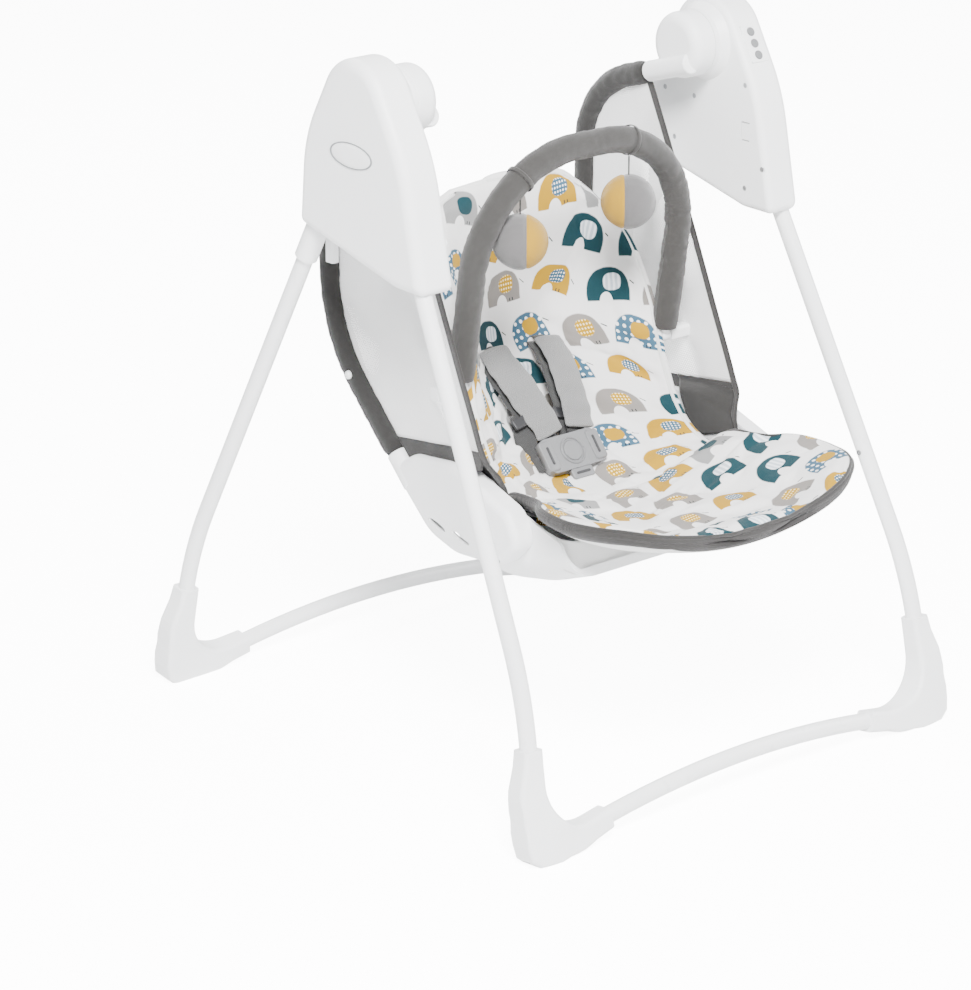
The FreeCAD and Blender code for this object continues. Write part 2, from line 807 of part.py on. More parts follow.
both_sides("bushes", "hub_bushes", bush_body)

pin_length = dim("housing_outer_x") - dim("housing_inner_x") - 2 * dim("housing_wall") - 0.4
fold_pin = cylinder(
    "fold_pin", "dims.fold_pin_diameter / 2", str(pin_length),
    along_x(dim("housing_inner_x") + dim("housing_wall") + 0.2, FOLD_Y, dim("fold_z")),
)
both_sides("pins", "fold_pins", fold_pin)

latch_right = round_edges("latch", box("latch_block", LATCH_LOW, LATCH_HIGH), 3.0,
                          lambda edge: edge.BoundBox.ZLength > 20)
node(latch_right, "fold_latch_right")
node(mirror("latch_left", latch_right, Vector(1, 0, 0)), "fold_latch_left")

# ---------------------------------------------------------------- rear leg brackets


def bracket():
    """Sleeve on the top of a rear leg, with the eye that turns on the fold pin."""
    eye_x = leg_point(dim("fold_z")).x
    low = leg_point(dim("fold_z") - dim("bracket_length"), 1, 1)
    high = leg_point(dim("fold_z"), 1, 1)
    sleeve = swept("bracket_sleeve", [Part.LineSegment(low, high)], "dims.bracket_diameter")
    width = "dims.bracket_diameter"
    start = Vector(eye_x - dim("bracket_diameter") / 2 + 1.2, FOLD_Y, dim("fold_z"))
    eye = cylinder("bracket_eye", "15", f"{width} - 0.4", Placement(start, AXIS_X))
    pin_hole = cylinder(
        "bracket_pin_hole", f"dims.fold_pin_diameter / 2 + {FIT_GAP}", "60",
        along_x(eye_x - 30, FOLD_Y, dim("fold_z")),
    )
    tube = [Part.LineSegment(low, leg_point(dim("leg_top_z"), 1, 1))]
    socket = swept("bracket_socket", tube, "dims.tube_diameter")
    solid = fuse("bracket_solid", sleeve, eye)
    return cut("bracket", solid, pin_hole, socket)


rear_bracket = node(bracket(), "rear_bracket_right")
node(mirror("rear_bracket_mirror", rear_bracket, Vector(1, 0, 0)), "rear_bracket_left")

# ---------------------------------------------------------------- swing drive


def gear_blank(teeth, thickness, turn):
    """A spur gear with straight-sided teeth and generous backlash."""
    module = dim("gear_module")
    pitch = teeth * module / 2
    tip, root = pitch + 0.75 * module, pitch - 1.15 * module
    tooth = math.pi * module / pitch
    corners = []
    for number in range(teeth):
        middle = turn + 2 * math.pi * number / teeth
        for radius, share in ((root, -0.34), (tip, -0.12), (tip, 0.12), (root, 0.34)):
            angle = middle + share * tooth
            corners.append(Vector(radius * math.cos(angle), radius * math.sin(angle), 0))
    face = Part.Face(Part.makePolygon(corners + corners[:1]))
    return face.extrude(Vector(0, 0, thickness))


GEAR_TEETH = 36
PINION_TEETH = 12
MESH_SLACK = 0.25
gear_distance = (GEAR_TEETH + PINION_TEETH) * dim("gear_module") / 2 + MESH_SLACK
pinion_y = dim("gear_y") + gear_distance
gear_spin = Rotation(0.5, 0.5, 0.5, 0.5)

gear_wheel = plain("gear_wheel", gear_blank(GEAR_TEETH, dim("gear_width"), 0.0))
gear_wheel.Placement = Placement(Vector(dim("gear_x"), dim("gear_y"), dim("gear_z")), gear_spin)
CRANK_RADIUS = 6.5
crank_pin = cylinder(
    "crank_pin", "2", "6", along_x(dim("gear_x") - 5, dim("gear_y"), dim("gear_z") + CRANK_RADIUS)
)
gear_bore = cylinder(
    "gear_bore", "3.06", "40", along_x(dim("gear_x") - 20, dim("gear_y"), dim("gear_z"))
)
node(cut("gear", fuse("gear_and_pin", gear_wheel, crank_pin), gear_bore), "drive_gear")

pinion_wheel = plain("pinion_wheel", gear_blank(PINION_TEETH, dim("gear_width"), math.pi / PINION_TEETH))
pinion_wheel.Placement = Placement(Vector(dim("gear_x"), pinion_y, dim("gear_z")), gear_spin)
pinion_bore = cylinder("pinion_bore", "1.56", "40", along_x(dim("gear_x") - 20, pinion_y, dim("gear_z")))
node(cut("pinion", pinion_wheel, pinion_bore), "motor_pinion")

motor_can = cylinder("motor_can", "dims.motor_diameter / 2", "17.6", along_x(235, pinion_y, dim("gear_z")))
motor_shaft = cylinder("motor_shaft", "1.5", "27", along_x(235, pinion_y, dim("gear_z")))
motor_nose = cylinder("motor_nose", "4", "18.6", along_x(235, pinion_y, dim("gear_z")))
node(fuse("motor", motor_can, motor_nose, motor_shaft), "drive_motor")

LEVER_X = 240.0
LEVER_WIDTH = 5.0
LEVER_REACH = 28.0
hub_z = dim("hub_height")
lever_hub = cylinder("lever_hub", "10", str(LEVER_WIDTH), along_x(LEVER_X, 0, hub_z))
lever_end = cylinder("lever_end", "6", str(LEVER_WIDTH), along_x(LEVER_X, 0, hub_z - LEVER_REACH))
lever_arm = box(
    "lever_arm", (LEVER_X, -6, hub_z - LEVER_REACH), (LEVER_X + LEVER_WIDTH, 6, hub_z)
)
lever_bore = cylinder("lever_bore", "dims.shaft_diameter / 2", "20", along_x(LEVER_X - 5, 0, hub_z))
lever_slot = box(
    "lever_slot", (LEVER_X - 5, -2.2, hub_z - LEVER_REACH - 2), (LEVER_X + 10, 2.2, hub_z - 13)
)
lever_solid = fuse("lever_solid", lever_hub, lever_end, lever_arm)
node(cut("lever", lever_solid, lever_bore, lever_slot), "swing_lever")

# ---------------------------------------------------------------- swing hubs and hanger tubes

hub_shaft = cylinder(
    "hub_shaft", "dims.shaft_diameter / 2", "dims.shaft_outer_x - dims.hub_cap_inner_x - 6",
    along_x(dim("hub_cap_inner_x") + 6, 0, hub_z),
)
both_sides("shafts", "hub_shafts", hub_shaft)


def hanger_points(start=-25.0, end_y=15.0):
    """Centre line of a hanger tube in side view, between two places along it."""
    slope = math.radians(dim("hanger_slope"))
    ahead = Vector(math.cos(slope), -math.sin(slope), 0)
    origin = Vector(0, dim("hub_height") - dim("hanger_drop"), 0)
    back = dim("hanger_back_y")
    elbow = origin + ahead * (back / ahead.x)
    low_turn = Vector(back, dim("hanger_low_z"), 0)
    low_turn.y -= dim("hanger_low_radius") * math.tan(math.radians(22.5))
    end = low_turn + Vector(-1, -1, 0) * (back - end_y)
    return [origin + ahead * start, elbow, low_turn, end]


HANGER_RADII = [dim("hanger_top_radius"), dim("hanger_low_radius")]
SOCKET_END = 46.0
SLEEVE_START = 48.0
SLEEVE_END_Y = 36.0
TUBE_END_Y = 6.0


def hanger_pipe(name, start, end_y, formulas):
    """A tube or sleeve that follows the hanger's centre line."""
    points = hanger_points(start, end_y)
    ahead = (points[1] - points[0]).normalize()
    body = new_body(name)
    path = body_sketch(body, "YZ_Plane", f"{name}_path", rounded(points, HANGER_RADII))
    ring = body.newObject("Sketcher::SketchObject", f"{name}_ring")
    ring.AttachmentSupport = (plane(body, "XZ_Plane"), [""])
    ring.MapMode = "FlatFace"
    lean = math.degrees(math.atan2(ahead.y, ahead.x))
    ring.AttachmentOffset = Placement(
        Vector(0, points[0].y, -points[0].x), Rotation(Vector(1, 0, 0), lean)
    )
    for number, formula in enumerate(formulas):
        size = float(sheet.evalExpression(formula))
        ring.addGeometry(Part.Circle(Vector(0, 0, 0), Vector(0, 0, 1), size / 2), False)
        ring.addConstraint(Sketcher.Constraint("Coincident", number, 3, -1, 1))
        index = ring.addConstraint(Sketcher.Constraint("Diameter", number, size))
        ring.setExpression(f"Constraints[{index}]", formula)
    pipe(body, path, ring)
    body.setExpression("Placement.Base.x", "dims.hanger_x")
    doc.recompute()
    return body


def hub_cap():
    """Moving hub: a cup turned about the swing axis, with the socket for the hanger tube."""
    inner, outer = dim("hub_cap_inner_x"), dim("hub_cap_outer_x")
    radius = dim("barrel_diameter") / 2
    shaft = dim("shaft_diameter") / 2
    wall = 3.0
    body = new_body("hub_cap_cup")
    points = [(inner, 0), (inner, radius), (outer, radius), (outer, radius - wall)]
    points += [(inner + wall, radius - wall), (inner + wall, 10), (outer - 2, 10), (outer - 2, shaft)]
    points += [(inner + 6, shaft), (inner + 6, 0)]
    radii = [0, dim("hub_cap_round"), 0.8, 0.8, dim("hub_cap_round") - wall, 1, 1, 0.5, 0, 0]
    corners = [Vector(x, y, 0) for x, y in points]
    sketch = body_sketch(body, "XZ_Plane", "cup_profile", rounded(corners, radii, closed=True))
    turn = body.newObject("PartDesign::Revolution", "cup_turn")
    turn.Profile = sketch
    turn.ReferenceAxis = (sketch, ["H_Axis"])
    turn.Angle = 360
    body.setExpression("Placement.Base.z", "dims.hub_height")
    doc.recompute()
    points = hanger_points()
    ahead = (points[1] - points[0]).normalize()
    first = points[0] - ahead * 2
    turn = Rotation(Vector(0, 0, 1), Vector(0, ahead.x, ahead.y))
    length = (SOCKET_END + 27.0)
    place = Placement(Vector(dim("hanger_x"), first.x, first.y), turn)
    socket = cylinder("hanger_socket", "dims.hanger_socket_diameter / 2", str(length), place)
    socket = round_edges("hanger_socket_round", socket, 2.5, lambda edge: edge.Closed)
    bore_place = Placement(Vector(dim("hanger_x"), points[0].x, points[0].y), turn)
    bore = cylinder("hanger_socket_bore", "dims.hanger_diameter / 2", "120", bore_place)
    return cut("hub_cap", fuse("hub_cap_solid", body, socket), bore)


cap_right = node(hub_cap(), "hub_cap_right")
node(mirror("hub_cap_mirror", cap_right, Vector(1, 0, 0)), "hub_cap_left")
tube_right = node(
    hanger_pipe("hanger_tube", -25.0, TUBE_END_Y, ["dims.hanger_diameter", "dims.hanger_bore"]),
    "hanger_tube_right",
)
node(mirror("hanger_tube_mirror", tube_right, Vector(1, 0, 0)), "hanger_tube_left")
sleeve_right = node(
    hanger_pipe(
        "hanger_sleeve", SLEEVE_START, SLEEVE_END_Y,
        ["dims.hanger_sleeve_diameter", "dims.hanger_diameter + 0.2"],
    ),
    "hanger_sleeve_right",
)
node(mirror("hanger_sleeve_mirror", sleeve_right, Vector(1, 0, 0)), "hanger_sleeve_left")

# ---------------------------------------------------------------- seat base


def base_outline(inset=0.0):
    """Side view of the seat pan; the inset outline is the space inside it."""
    points = [
        (46 - inset, 350 + 6 * inset),
        (-34 + 0.4 * inset, 247 + inset),
        (-115, 224 + inset),
        (-190, 240 + inset),
        (-246 + 2 * inset, 262 + 1.3 * inset),
        (-241 + 0.5 * inset, 269 + 4 * inset),
        (-224, 298 + 6 * inset),
        (-160, 316 + 6 * inset),
        (-110, 338 + 6 * inset),
        (-70, 350 + 6 * inset),
    ]
    radii = [0, 55, 110, 160, 0, 0, 12, 40, 40, 60]
    return rounded([Vector(y, z, 0) for y, z in points], radii, closed=True)


WALL = dim("base_wall")
pan_block = extrude_x(
    "pan_block", side_sketch("pan_outline", base_outline()), "-dims.base_half_width",
    "2 * dims.base_half_width",
)


def under_side_at(x):
    """Picks the edges of a side wall at x that run along the underside."""

    def wanted(edge):
        box = edge.BoundBox
        at_side = box.XLength < 0.01 and abs(abs(box.XMin) - x) < 0.01
        return at_side and edge.CenterOfMass.z < UNDER_SIDE_TOP

    return wanted


UNDER_SIDE_TOP = 260.0
pan_rounded = round_edges(
    "pan_rounded", pan_block, dim("base_round"), under_side_at(dim("base_half_width"))
)
pan_cavity = extrude_x(
    "pan_cavity", side_sketch("pan_cavity_outline", base_outline(WALL)),
    "-dims.base_half_width + dims.base_wall", "2 * (dims.base_half_width - dims.base_wall)",
)
pan_cavity = round_edges(
    "pan_cavity_rounded", pan_cavity, dim("base_round") - WALL,
    under_side_at(dim("base_half_width") - WALL),
)
node(cut("pan", pan_rounded, pan_cavity), "seat_base")


def cover_outline(inset=0.0):
    """Side view of a side cover of the seat base."""
    middle = Vector(-68, 300, 0)
    points = [
        (37, 322), (-30, 262), (-75, 250), (-150, 256), (-184, 290), (-165, 322), (-70, 353), (0, 345),
    ]
    radii = [8, 60, 60, 30, 20, 25, 80, 25]
    corners = []
    for y, z in points:
        point = Vector(y, z, 0)
        corners.append(point + (middle - point).normalize() * inset)
    return rounded(corners, radii, closed=True)


def base_cover():
    """Hollow side cover with the collar for the hanger tube and two finger grips."""
    block = extrude_x(
        "cover_block", side_sketch("cover_outline", cover_outline()), "dims.cover_inner_x",
        "dims.cover_outer_x - dims.cover_inner_x",
    )
    block = round_edges("cover_rounded", block, dim("cover_round"), lies_at_x(dim("cover_outer_x")))
    hollow = extrude_x(
        "cover_hollow", side_sketch("cover_hollow_outline", cover_outline(5.0)), "dims.cover_inner_x",
        "dims.cover_outer_x - dims.cover_inner_x - 3",
    )
    points = hanger_points(0, TUBE_END_Y)
    ahead = (points[3] - points[2]).normalize()
    turn = Rotation(Vector(0, 0, 1), Vector(0, ahead.x, ahead.y))
    collar_start = points[3] - ahead * ((SLEEVE_END_Y - TUBE_END_Y) * math.sqrt(2) - 1)
    place = Placement(Vector(dim("hanger_x"), collar_start.x, collar_start.y), turn)
    collar = cylinder("cover_collar", "dims.hanger_diameter / 2 + 5", "42", place)
    collar = round_edges("cover_collar_round", collar, 1.5, lambda edge: edge.Closed)
    bore_place = Placement(place.Base - turn.multVec(Vector(0, 0, 20)), turn)
    bore = cylinder("cover_bore", "dims.hanger_diameter / 2", "61.9", bore_place)
    shell = cut("cover_shell", block, hollow)
    grips = []
    for number, (y, z) in enumerate(((-47, 277), (-88, 273))):
        grip = doc.addObject("Part::Ellipsoid", f"grip_{number}")
        grip.Radius1, grip.Radius2, grip.Radius3 = 3.2, 9, 15
        grip.Placement = Placement(Vector(dim("cover_outer_x") + 0.6, y, z), Rotation(Vector(1, 0, 0), 15))
        grips.append(grip)
    return cut("cover", fuse("cover_solid", shell, collar), bore, *grips)


cover_right = node(base_cover(), "base_cover_right")
node(mirror("base_cover_mirror", cover_right, Vector(1, 0, 0)), "base_cover_left")

# ---------------------------------------------------------------- soft seat


def band(points, thickness_along, half_width, dip):
    """Closed crescent section: a shallow arc and the same arc moved by the thickness."""
    centre, edge_direction = points
    left = centre + Vector(-half_width, 0, 0) + edge_direction * dip
    right = centre + Vector(half_width, 0, 0) + edge_direction * dip
    shift = thickness_along
    curves = [
        Part.Arc(left, centre, right),
        Part.LineSegment(right, right + shift),
        Part.Arc(right + shift, centre + shift, left + shift),
        Part.LineSegment(left + shift, left),
    ]
    return wire(curves)


def loft(name, sections):
    return plain(name, Part.makeLoft(sections, True, False))


# seat back: height, half width, front surface on the centre line, how far the edges come forward
BACK_LEVELS = (
    (352, 136, 26, 84),
    (378, 135, 53, 96),
    (404, 133, 73, 101),
    (432, 131, 86, 103),
    (465, 130, 92, 102),
    (530, 122, 86, 74),
    (575, 100, 80, 34),
    (606, 62, 79, 9),
)
THICK = dim("pad_thickness")


# fabric back behind the pad, from one side panel to the other
SLING_LEVELS = (
    (376, 184, 84, 50),
    (404, 184, 97, 54),
    (465, 184, 116, 60),
    (530, 184, 109, 50),
)
SLING_THICKNESS = 2.0


def back_sections(levels, thickness):
    """Crescents up the seat back, from each level's front surface."""
    return [
        band((Vector(0, front, z), Vector(0, -1, 0)), Vector(0, thickness, 0), half, dip)
        for z, half, front, dip in levels
    ]


node(loft("back_pad", back_sections(BACK_LEVELS, THICK)), "back_pad")
node(loft("sling", back_sections(SLING_LEVELS, SLING_THICKNESS)), "seat_sling")

# seat: distance from the axis, half width, top surface on the centre line, rise of the edges
SEAT_STATIONS = (
    (-347, 92, 309, 9),
    (-340, 128, 306, 18),
    (-330, 158, 303, 28),
    (-300, 190, 296, 40),
    (-260, 203, 286, 46),
    (-218, 188, 283, 46),
    (-197, 171, 283, 44),
    (-170, 169, 283, 44),
    (-133, 166, 283, 42),
    (-95, 152, 284, 42),
    (-60, 138, 290, 50),
    (-30, 128, 305, 38),
    (-5, 116, 325, 20),
    (18, 106, 344, 3),
)
SEAT_STEPS = 34


def seat_section(y):
    """Crescent across the seat at a distance y from the axis."""
    half, z, rise = smooth_table(SEAT_STATIONS, y)
    return band((Vector(0, y, z), Vector(0, 0, 1)), Vector(0, 0, -dim("seat_thickness")), half, rise)


SEAT_FRONT = SEAT_STATIONS[0][0]
SEAT_LENGTH = SEAT_STATIONS[-1][0] - SEAT_FRONT
seat_sections = [
    seat_section(SEAT_FRONT + SEAT_LENGTH * step / SEAT_STEPS) for step in range(SEAT_STEPS + 1)
]
node(plain("seat_pad", Part.makeLoft(seat_sections, True, True)), "seat_pad")


def side_panel():
    """Mesh side of the seat, stretched between the hanger tube and its front binding."""
    gap = dim("hanger_sleeve_diameter") / 2 + 1.0
    points = hanger_points(0, SLEEVE_END_Y)
    ahead = (points[1] - points[0]).normalize()
    below = Vector(ahead.y, -ahead.x, 0)
    top = points[0] + ahead * 62 + below * gap
    elbow = points[1] + Vector(-gap, 0, 0) + Vector(0, -gap * 1.05, 0)
    low_turn = points[2] + Vector(-gap, gap * math.tan(math.radians(22.5)), 0)
    low_end = points[3] + Vector(-1, 1, 0) * (gap / math.sqrt(2)) + Vector(1, 1, 0) * 10
    inner = [dim("hanger_top_radius") - gap, dim("hanger_low_radius") - gap]
    corners = [
        Vector(46, 694, 0), top, elbow, low_turn, low_end,
        Vector(0, 358, 0), Vector(-70, 364, 0), Vector(-109, 357, 0),
    ]
    radii = [1, 2, inner[0], inner[1], 2, 20, 60, 2]
    sketch = side_sketch("panel_outline", rounded(corners, radii, closed=True))
    return extrude_x(
        "panel", sketch, "dims.hanger_x - dims.panel_thickness / 2", "dims.panel_thickness"
    )


panel_right = node(side_panel(), "side_panel_right")
node(mirror("side_panel_mirror", panel_right, Vector(1, 0, 0)), "side_panel_left")

# ---------------------------------------------------------------- harness

BUCKLE = Vector(-8, -43, 314)
BUCKLE_TILT = 50.0
BUCKLE_TURN = Rotation(Vector(1, 0, 0), BUCKLE_TILT)


def slab(name, centre, turn, size, radius, along):
    """Flat block with rounded corners; along is its thin direction's length."""
    width, length = size
    block = doc.addObject("Part::Box", f"{name}_block")
    block.Length, block.Width, block.Height = width, length, along
    block.Placement = Placement(centre + turn.multVec(Vector(-width / 2, -length / 2, 0)), turn)
    doc.recompute()
    axis = turn.multVec(Vector(0, 0, 1))

    def upright(edge):
        run = edge.Vertexes[1].Point - edge.Vertexes[0].Point
        return abs(run.dot(axis)) > along - 0.01

    return round_edges(name, block, radius, upright)


BUCKLE_SIZE = (84.0, 42.0)
BUCKLE_THICKNESS = 13.0
BUTTON_TOP = 1.2
buckle_block = slab("buckle", BUCKLE, BUCKLE_TURN, BUCKLE_SIZE, 10.0, BUCKLE_THICKNESS)
buckle_axis = BUCKLE_TURN.multVec(Vector(0, 0, 1))
buckle_well = cylinder(
    "buckle_well", "12.6", "30", Placement(BUCKLE + buckle_axis * 5.0, BUCKLE_TURN)
)
node(cut("buckle_body", buckle_block, buckle_well), "buckle_body")
button = cylinder(
    "buckle_button_blank", "12.3", str(BUCKLE_THICKNESS + BUTTON_TOP - 8.0),
    Placement(BUCKLE + buckle_axis * 8.0, BUCKLE_TURN),
)
button_top = BUCKLE + buckle_axis * (BUCKLE_THICKNESS + BUTTON_TOP)
node(
    round_edges(
        "buckle_button_round", button, 1.2,
        lambda edge: edge.Closed and edge.CenterOfMass.distanceToPoint(button_top) < 0.3,
    ),
    "buckle_button",
)


def strap(name, start, end, width, thickness, facing):
    """A flat strap lying between two points; facing is roughly its outward normal."""
    run = end - start
    length = run.Length
    along = Vector(run).normalize()
    side = along.cross(facing).normalize()
    out = side.cross(along).normalize()
    turn = Rotation(FreeCAD.Matrix(
        side.x, along.x, out.x, 0, side.y, along.y, out.y, 0, side.z, along.z, out.z, 0, 0, 0, 0, 1
    ))
    middle = (start + end) * 0.5
    return slab(name, middle, turn, (width, length), 1.0, thickness)


STRAP_TOP = Vector(41, 62, 420)
STRAP_LOW = Vector(24, -24, 347)
FACING = Vector(0, -0.6, 0.8)
width, thick = dim("strap_width"), dim("strap_thickness")
strap_right = node(strap("shoulder", STRAP_TOP, STRAP_LOW, width, thick, FACING), "shoulder_strap_right")
node(mirror("shoulder_mirror", strap_right, Vector(1, 0, 0)), "shoulder_strap_left")
PAD_LIFT = Vector(0, -2.6, 3.3)
pad_top = STRAP_TOP + (STRAP_LOW - STRAP_TOP) * 0.08 + PAD_LIFT
pad_low = STRAP_TOP + (STRAP_LOW - STRAP_TOP) * 0.96 + PAD_LIFT
strap_pad = strap("strap_pad", pad_top, pad_low, 40.0, 5.0, FACING)
both_sides("strap_pad_pair", "strap_pads", strap_pad)
CROTCH_TOP = BUCKLE + BUCKLE_TURN.multVec(Vector(0, -BUCKLE_SIZE[1] / 2 - 1.5, 3))
CROTCH_LOW = Vector(-8, -128, 292)
node(strap("crotch", CROTCH_TOP, CROTCH_LOW, 30.0, 2.0, Vector(0, -0.4, 0.9)), "crotch_strap")

# ---------------------------------------------------------------- toy bar

toy_turn = Rotation(Vector(1, 0, 0), dim("toy_bar_lean"))
toy_origin = Vector(0, -dim("toy_bar_y"), dim("toy_bar_z"))


def toy_point(x, rise):
    """A point in the leaning plane of the toy bar."""
    return toy_origin + toy_turn.multVec(Vector(x, 0, rise))


def toy_bar_pipe(name, start, formulas):
    """An arch in the toy bar's own plane; start is the height of its two ends."""
    side, radius = dim("toy_bar_side"), dim("toy_bar_radius")
    half = dim("toy_bar_x")
    crown = side + radius
    body = new_body(name)
    points = [(half, start), (half, crown), (-half, crown), (-half, start)]
    corners = [Vector(x, z, 0) for x, z in points]
    path = body_sketch(body, "XZ_Plane", f"{name}_path", rounded(corners, [radius, radius]))
    ring = body.newObject("Sketcher::SketchObject", f"{name}_ring")
    ring.AttachmentSupport = (plane(body, "XY_Plane"), [""])
    ring.MapMode = "FlatFace"
    ring.AttachmentOffset = Placement(Vector(half, 0, start), Rotation())
    for number, formula in enumerate(formulas):
        size = float(sheet.evalExpression(formula))
        ring.addGeometry(Part.Circle(Vector(0, 0, 0), Vector(0, 0, 1), size / 2), False)
        ring.addConstraint(Sketcher.Constraint("Coincident", number, 3, -1, 1))
        index = ring.addConstraint(Sketcher.Constraint("Diameter", number, size))
        ring.setExpression(f"Constraints[{index}]", formula)
    pipe(body, path, ring)
    body.Placement = Placement(toy_origin, toy_turn)
    doc.recompute()
    return body


PIVOT = toy_point(0, -dim("toy_bar_pivot_drop"))
core_arch = toy_bar_pipe("toy_core_arch", -12.0, ["dims.toy_bar_core_diameter"])
eyes = []
eye_bores = []
for label, side in SIDES:
    start = side * (dim("toy_bar_x") - 6)
    turn = Rotation(Vector(0, 0, 1), Vector(side, 0, 0))
    eyes.append(cylinder(f"eye_{label}", "7", "12", Placement(Vector(start, PIVOT.y, PIVOT.z), turn)))
    eye_bores.append(cylinder(
        f"eye_bore_{label}", f"dims.toy_bar_pin_diameter / 2 + {FIT_GAP}", "60",
        Placement(Vector(side * 120, PIVOT.y, PIVOT.z), turn),
    ))
for label, eye, bore in zip(("left", "right"), eyes, eye_bores):
    joined = doc.addObject("Part::Fuse", f"toy_core_eye_{label}")
    joined.Base = core_arch
    joined.Tool = eye
    joined.Refine = False
    core_arch = cut(f"toy_core_{label}", joined, bore)
node(core_arch, "toy_bar_core")
node(
    toy_bar_pipe("toy_sleeve", -4.0, ["dims.toy_bar_diameter", "dims.toy_bar_core_diameter + 0.2"]),
    "toy_bar_sleeve",
)
socket_plate = box(
    "socket_plate",
    (dim("toy_bar_x") + 7.5, PIVOT.y - 7, PIVOT.z - 8),
    (dim("hanger_x") - dim("panel_thickness") / 2 - 0.2, PIVOT.y + 7, PIVOT.z + 8),
)
socket_round = round_edges("socket_round", socket_plate, 4.0, lambda edge: edge.BoundBox.XLength > 5)
socket_pin = cylinder(
    "socket_pin", "dims.toy_bar_pin_diameter / 2", "18",
    along_x(dim("toy_bar_x") - 8, PIVOT.y, PIVOT.z),
)
both_sides("toy_sockets", "toy_bar_sockets", fuse("toy_socket", socket_round, socket_pin))


def toy_ball(name, x, centre_drop, loop_radius):
    """Soft ball on a short cord, hung from a loop round the toy bar."""
    half_flat = dim("toy_bar_x") - dim("toy_bar_radius")
    over = max(abs(x) - half_flat, 0)
    rise = dim("toy_bar_side") + math.sqrt(dim("toy_bar_radius") ** 2 - over ** 2)
    bar = toy_point(x, rise)
    centre = Vector(x, bar.y, bar.z - centre_drop)
    ball = doc.addObject("Part::Sphere", f"{name}_ball")
    ball.setExpression("Radius", "dims.ball_diameter / 2")
    ball.Placement.Base = centre
    cord = doc.addObject("Part::Cylinder", f"{name}_cord")
    cord.Radius = 1.2
    cord.Height = bar.z - loop_radius - LOOP_WALL / 2 - centre.z
    cord.Placement.Base = centre
    start = Vector(x - LOOP_WIDTH / 2, bar.y, bar.z)
    band = cylinder(f"{name}_band", str(loop_radius + LOOP_WALL), str(LOOP_WIDTH), along_x(*start))
    eye = cylinder(f"{name}_eye", str(loop_radius), str(LOOP_WIDTH + 2), along_x(start.x - 1, start.y, start.z))
    loop = cut(f"{name}_loop", band, eye)
    doc.recompute()
    print(name, "centre", tuple(round(v, 1) for v in centre))
    return fuse(name, ball, cord, loop)


LOOP_WALL = 1.2
LOOP_WIDTH = 3.0
node(toy_ball("ball_right", 59.0, 70.0, 18.0), "toy_ball_right")
node(toy_ball("ball_left", -97.0, 70.0, 21.0), "toy_ball_left")

# ---------------------------------------------------------------- checks and files

doc.recompute()
problems = [f"{item.Name}: {item.State}" for item in doc.Objects
            if "Invalid" in item.State or "Error" in item.State]
for item in nodes:
    if item.Shape.isNull() or not item.Shape.isValid():
        problems.append(f"{item.Label}: null or invalid shape")
    elif not item.Shape.Solids:
        problems.append(f"{item.Label}: no solid")
if problems:
    raise SystemExit("\n".join(problems))

os.makedirs("parts", exist_ok=True)
for item in nodes:
    item.Shape.exportStep(f"parts/{item.Label}.step")
    print(f"{item.Label:24s} {item.Shape.Volume / 1000:9.1f} cm3  {len(item.Shape.Solids)} solids")
print(len(nodes), "nodes")
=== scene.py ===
import json
import math

import bmesh
import bpy
from mathutils import Matrix, Vector, noise


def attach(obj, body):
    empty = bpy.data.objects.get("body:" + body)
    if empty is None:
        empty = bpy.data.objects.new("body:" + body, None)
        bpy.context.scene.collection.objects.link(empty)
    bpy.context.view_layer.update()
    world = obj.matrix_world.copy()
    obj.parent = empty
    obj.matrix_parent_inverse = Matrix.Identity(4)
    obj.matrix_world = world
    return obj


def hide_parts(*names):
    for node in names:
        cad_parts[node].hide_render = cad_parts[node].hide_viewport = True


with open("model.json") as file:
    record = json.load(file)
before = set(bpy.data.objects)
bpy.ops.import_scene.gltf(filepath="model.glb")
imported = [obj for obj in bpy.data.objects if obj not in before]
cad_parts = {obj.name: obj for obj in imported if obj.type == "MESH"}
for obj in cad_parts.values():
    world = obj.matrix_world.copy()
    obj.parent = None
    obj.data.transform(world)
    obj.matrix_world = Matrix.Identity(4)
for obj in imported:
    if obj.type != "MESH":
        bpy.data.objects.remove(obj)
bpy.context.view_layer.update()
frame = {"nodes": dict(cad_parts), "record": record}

NODES = frame["nodes"]
MM = 0.001
SIDES = (("left", -1), ("right", 1))
X_AXIS = Vector((1, 0, 0))

# ------------------------------------------------------------------ small maths


def lerp(a, b, share):
    return a + (b - a) * share


def smoothstep(low, high, x):
    x = min(max((x - low) / (high - low), 0.0), 1.0)
    return x * x * (3 - 2 * x)


def spline_table(rows, at):
    """Smooth values between the rows of a table whose first column is the position."""
    for i in range(len(rows) - 1):
        if at <= rows[i + 1][0]:
            break
    p0, p1, p2, p3 = rows[max(i - 1, 0)], rows[i], rows[i + 1], rows[min(i + 2, len(rows) - 1)]
    h = p2[0] - p1[0]
    s = (at - p1[0]) / h
    out = []
    for k in range(1, len(p1)):
        m1 = (p2[k] - p0[k]) / (p2[0] - p0[0]) * h
        m2 = (p3[k] - p1[k]) / (p3[0] - p1[0]) * h
        a = 2 * p1[k] - 2 * p2[k] + m1 + m2
        b = -3 * p1[k] + 3 * p2[k] - 2 * m1 - m2
        out.append(((a * s + b) * s + m1) * s + p1[k])
    return out


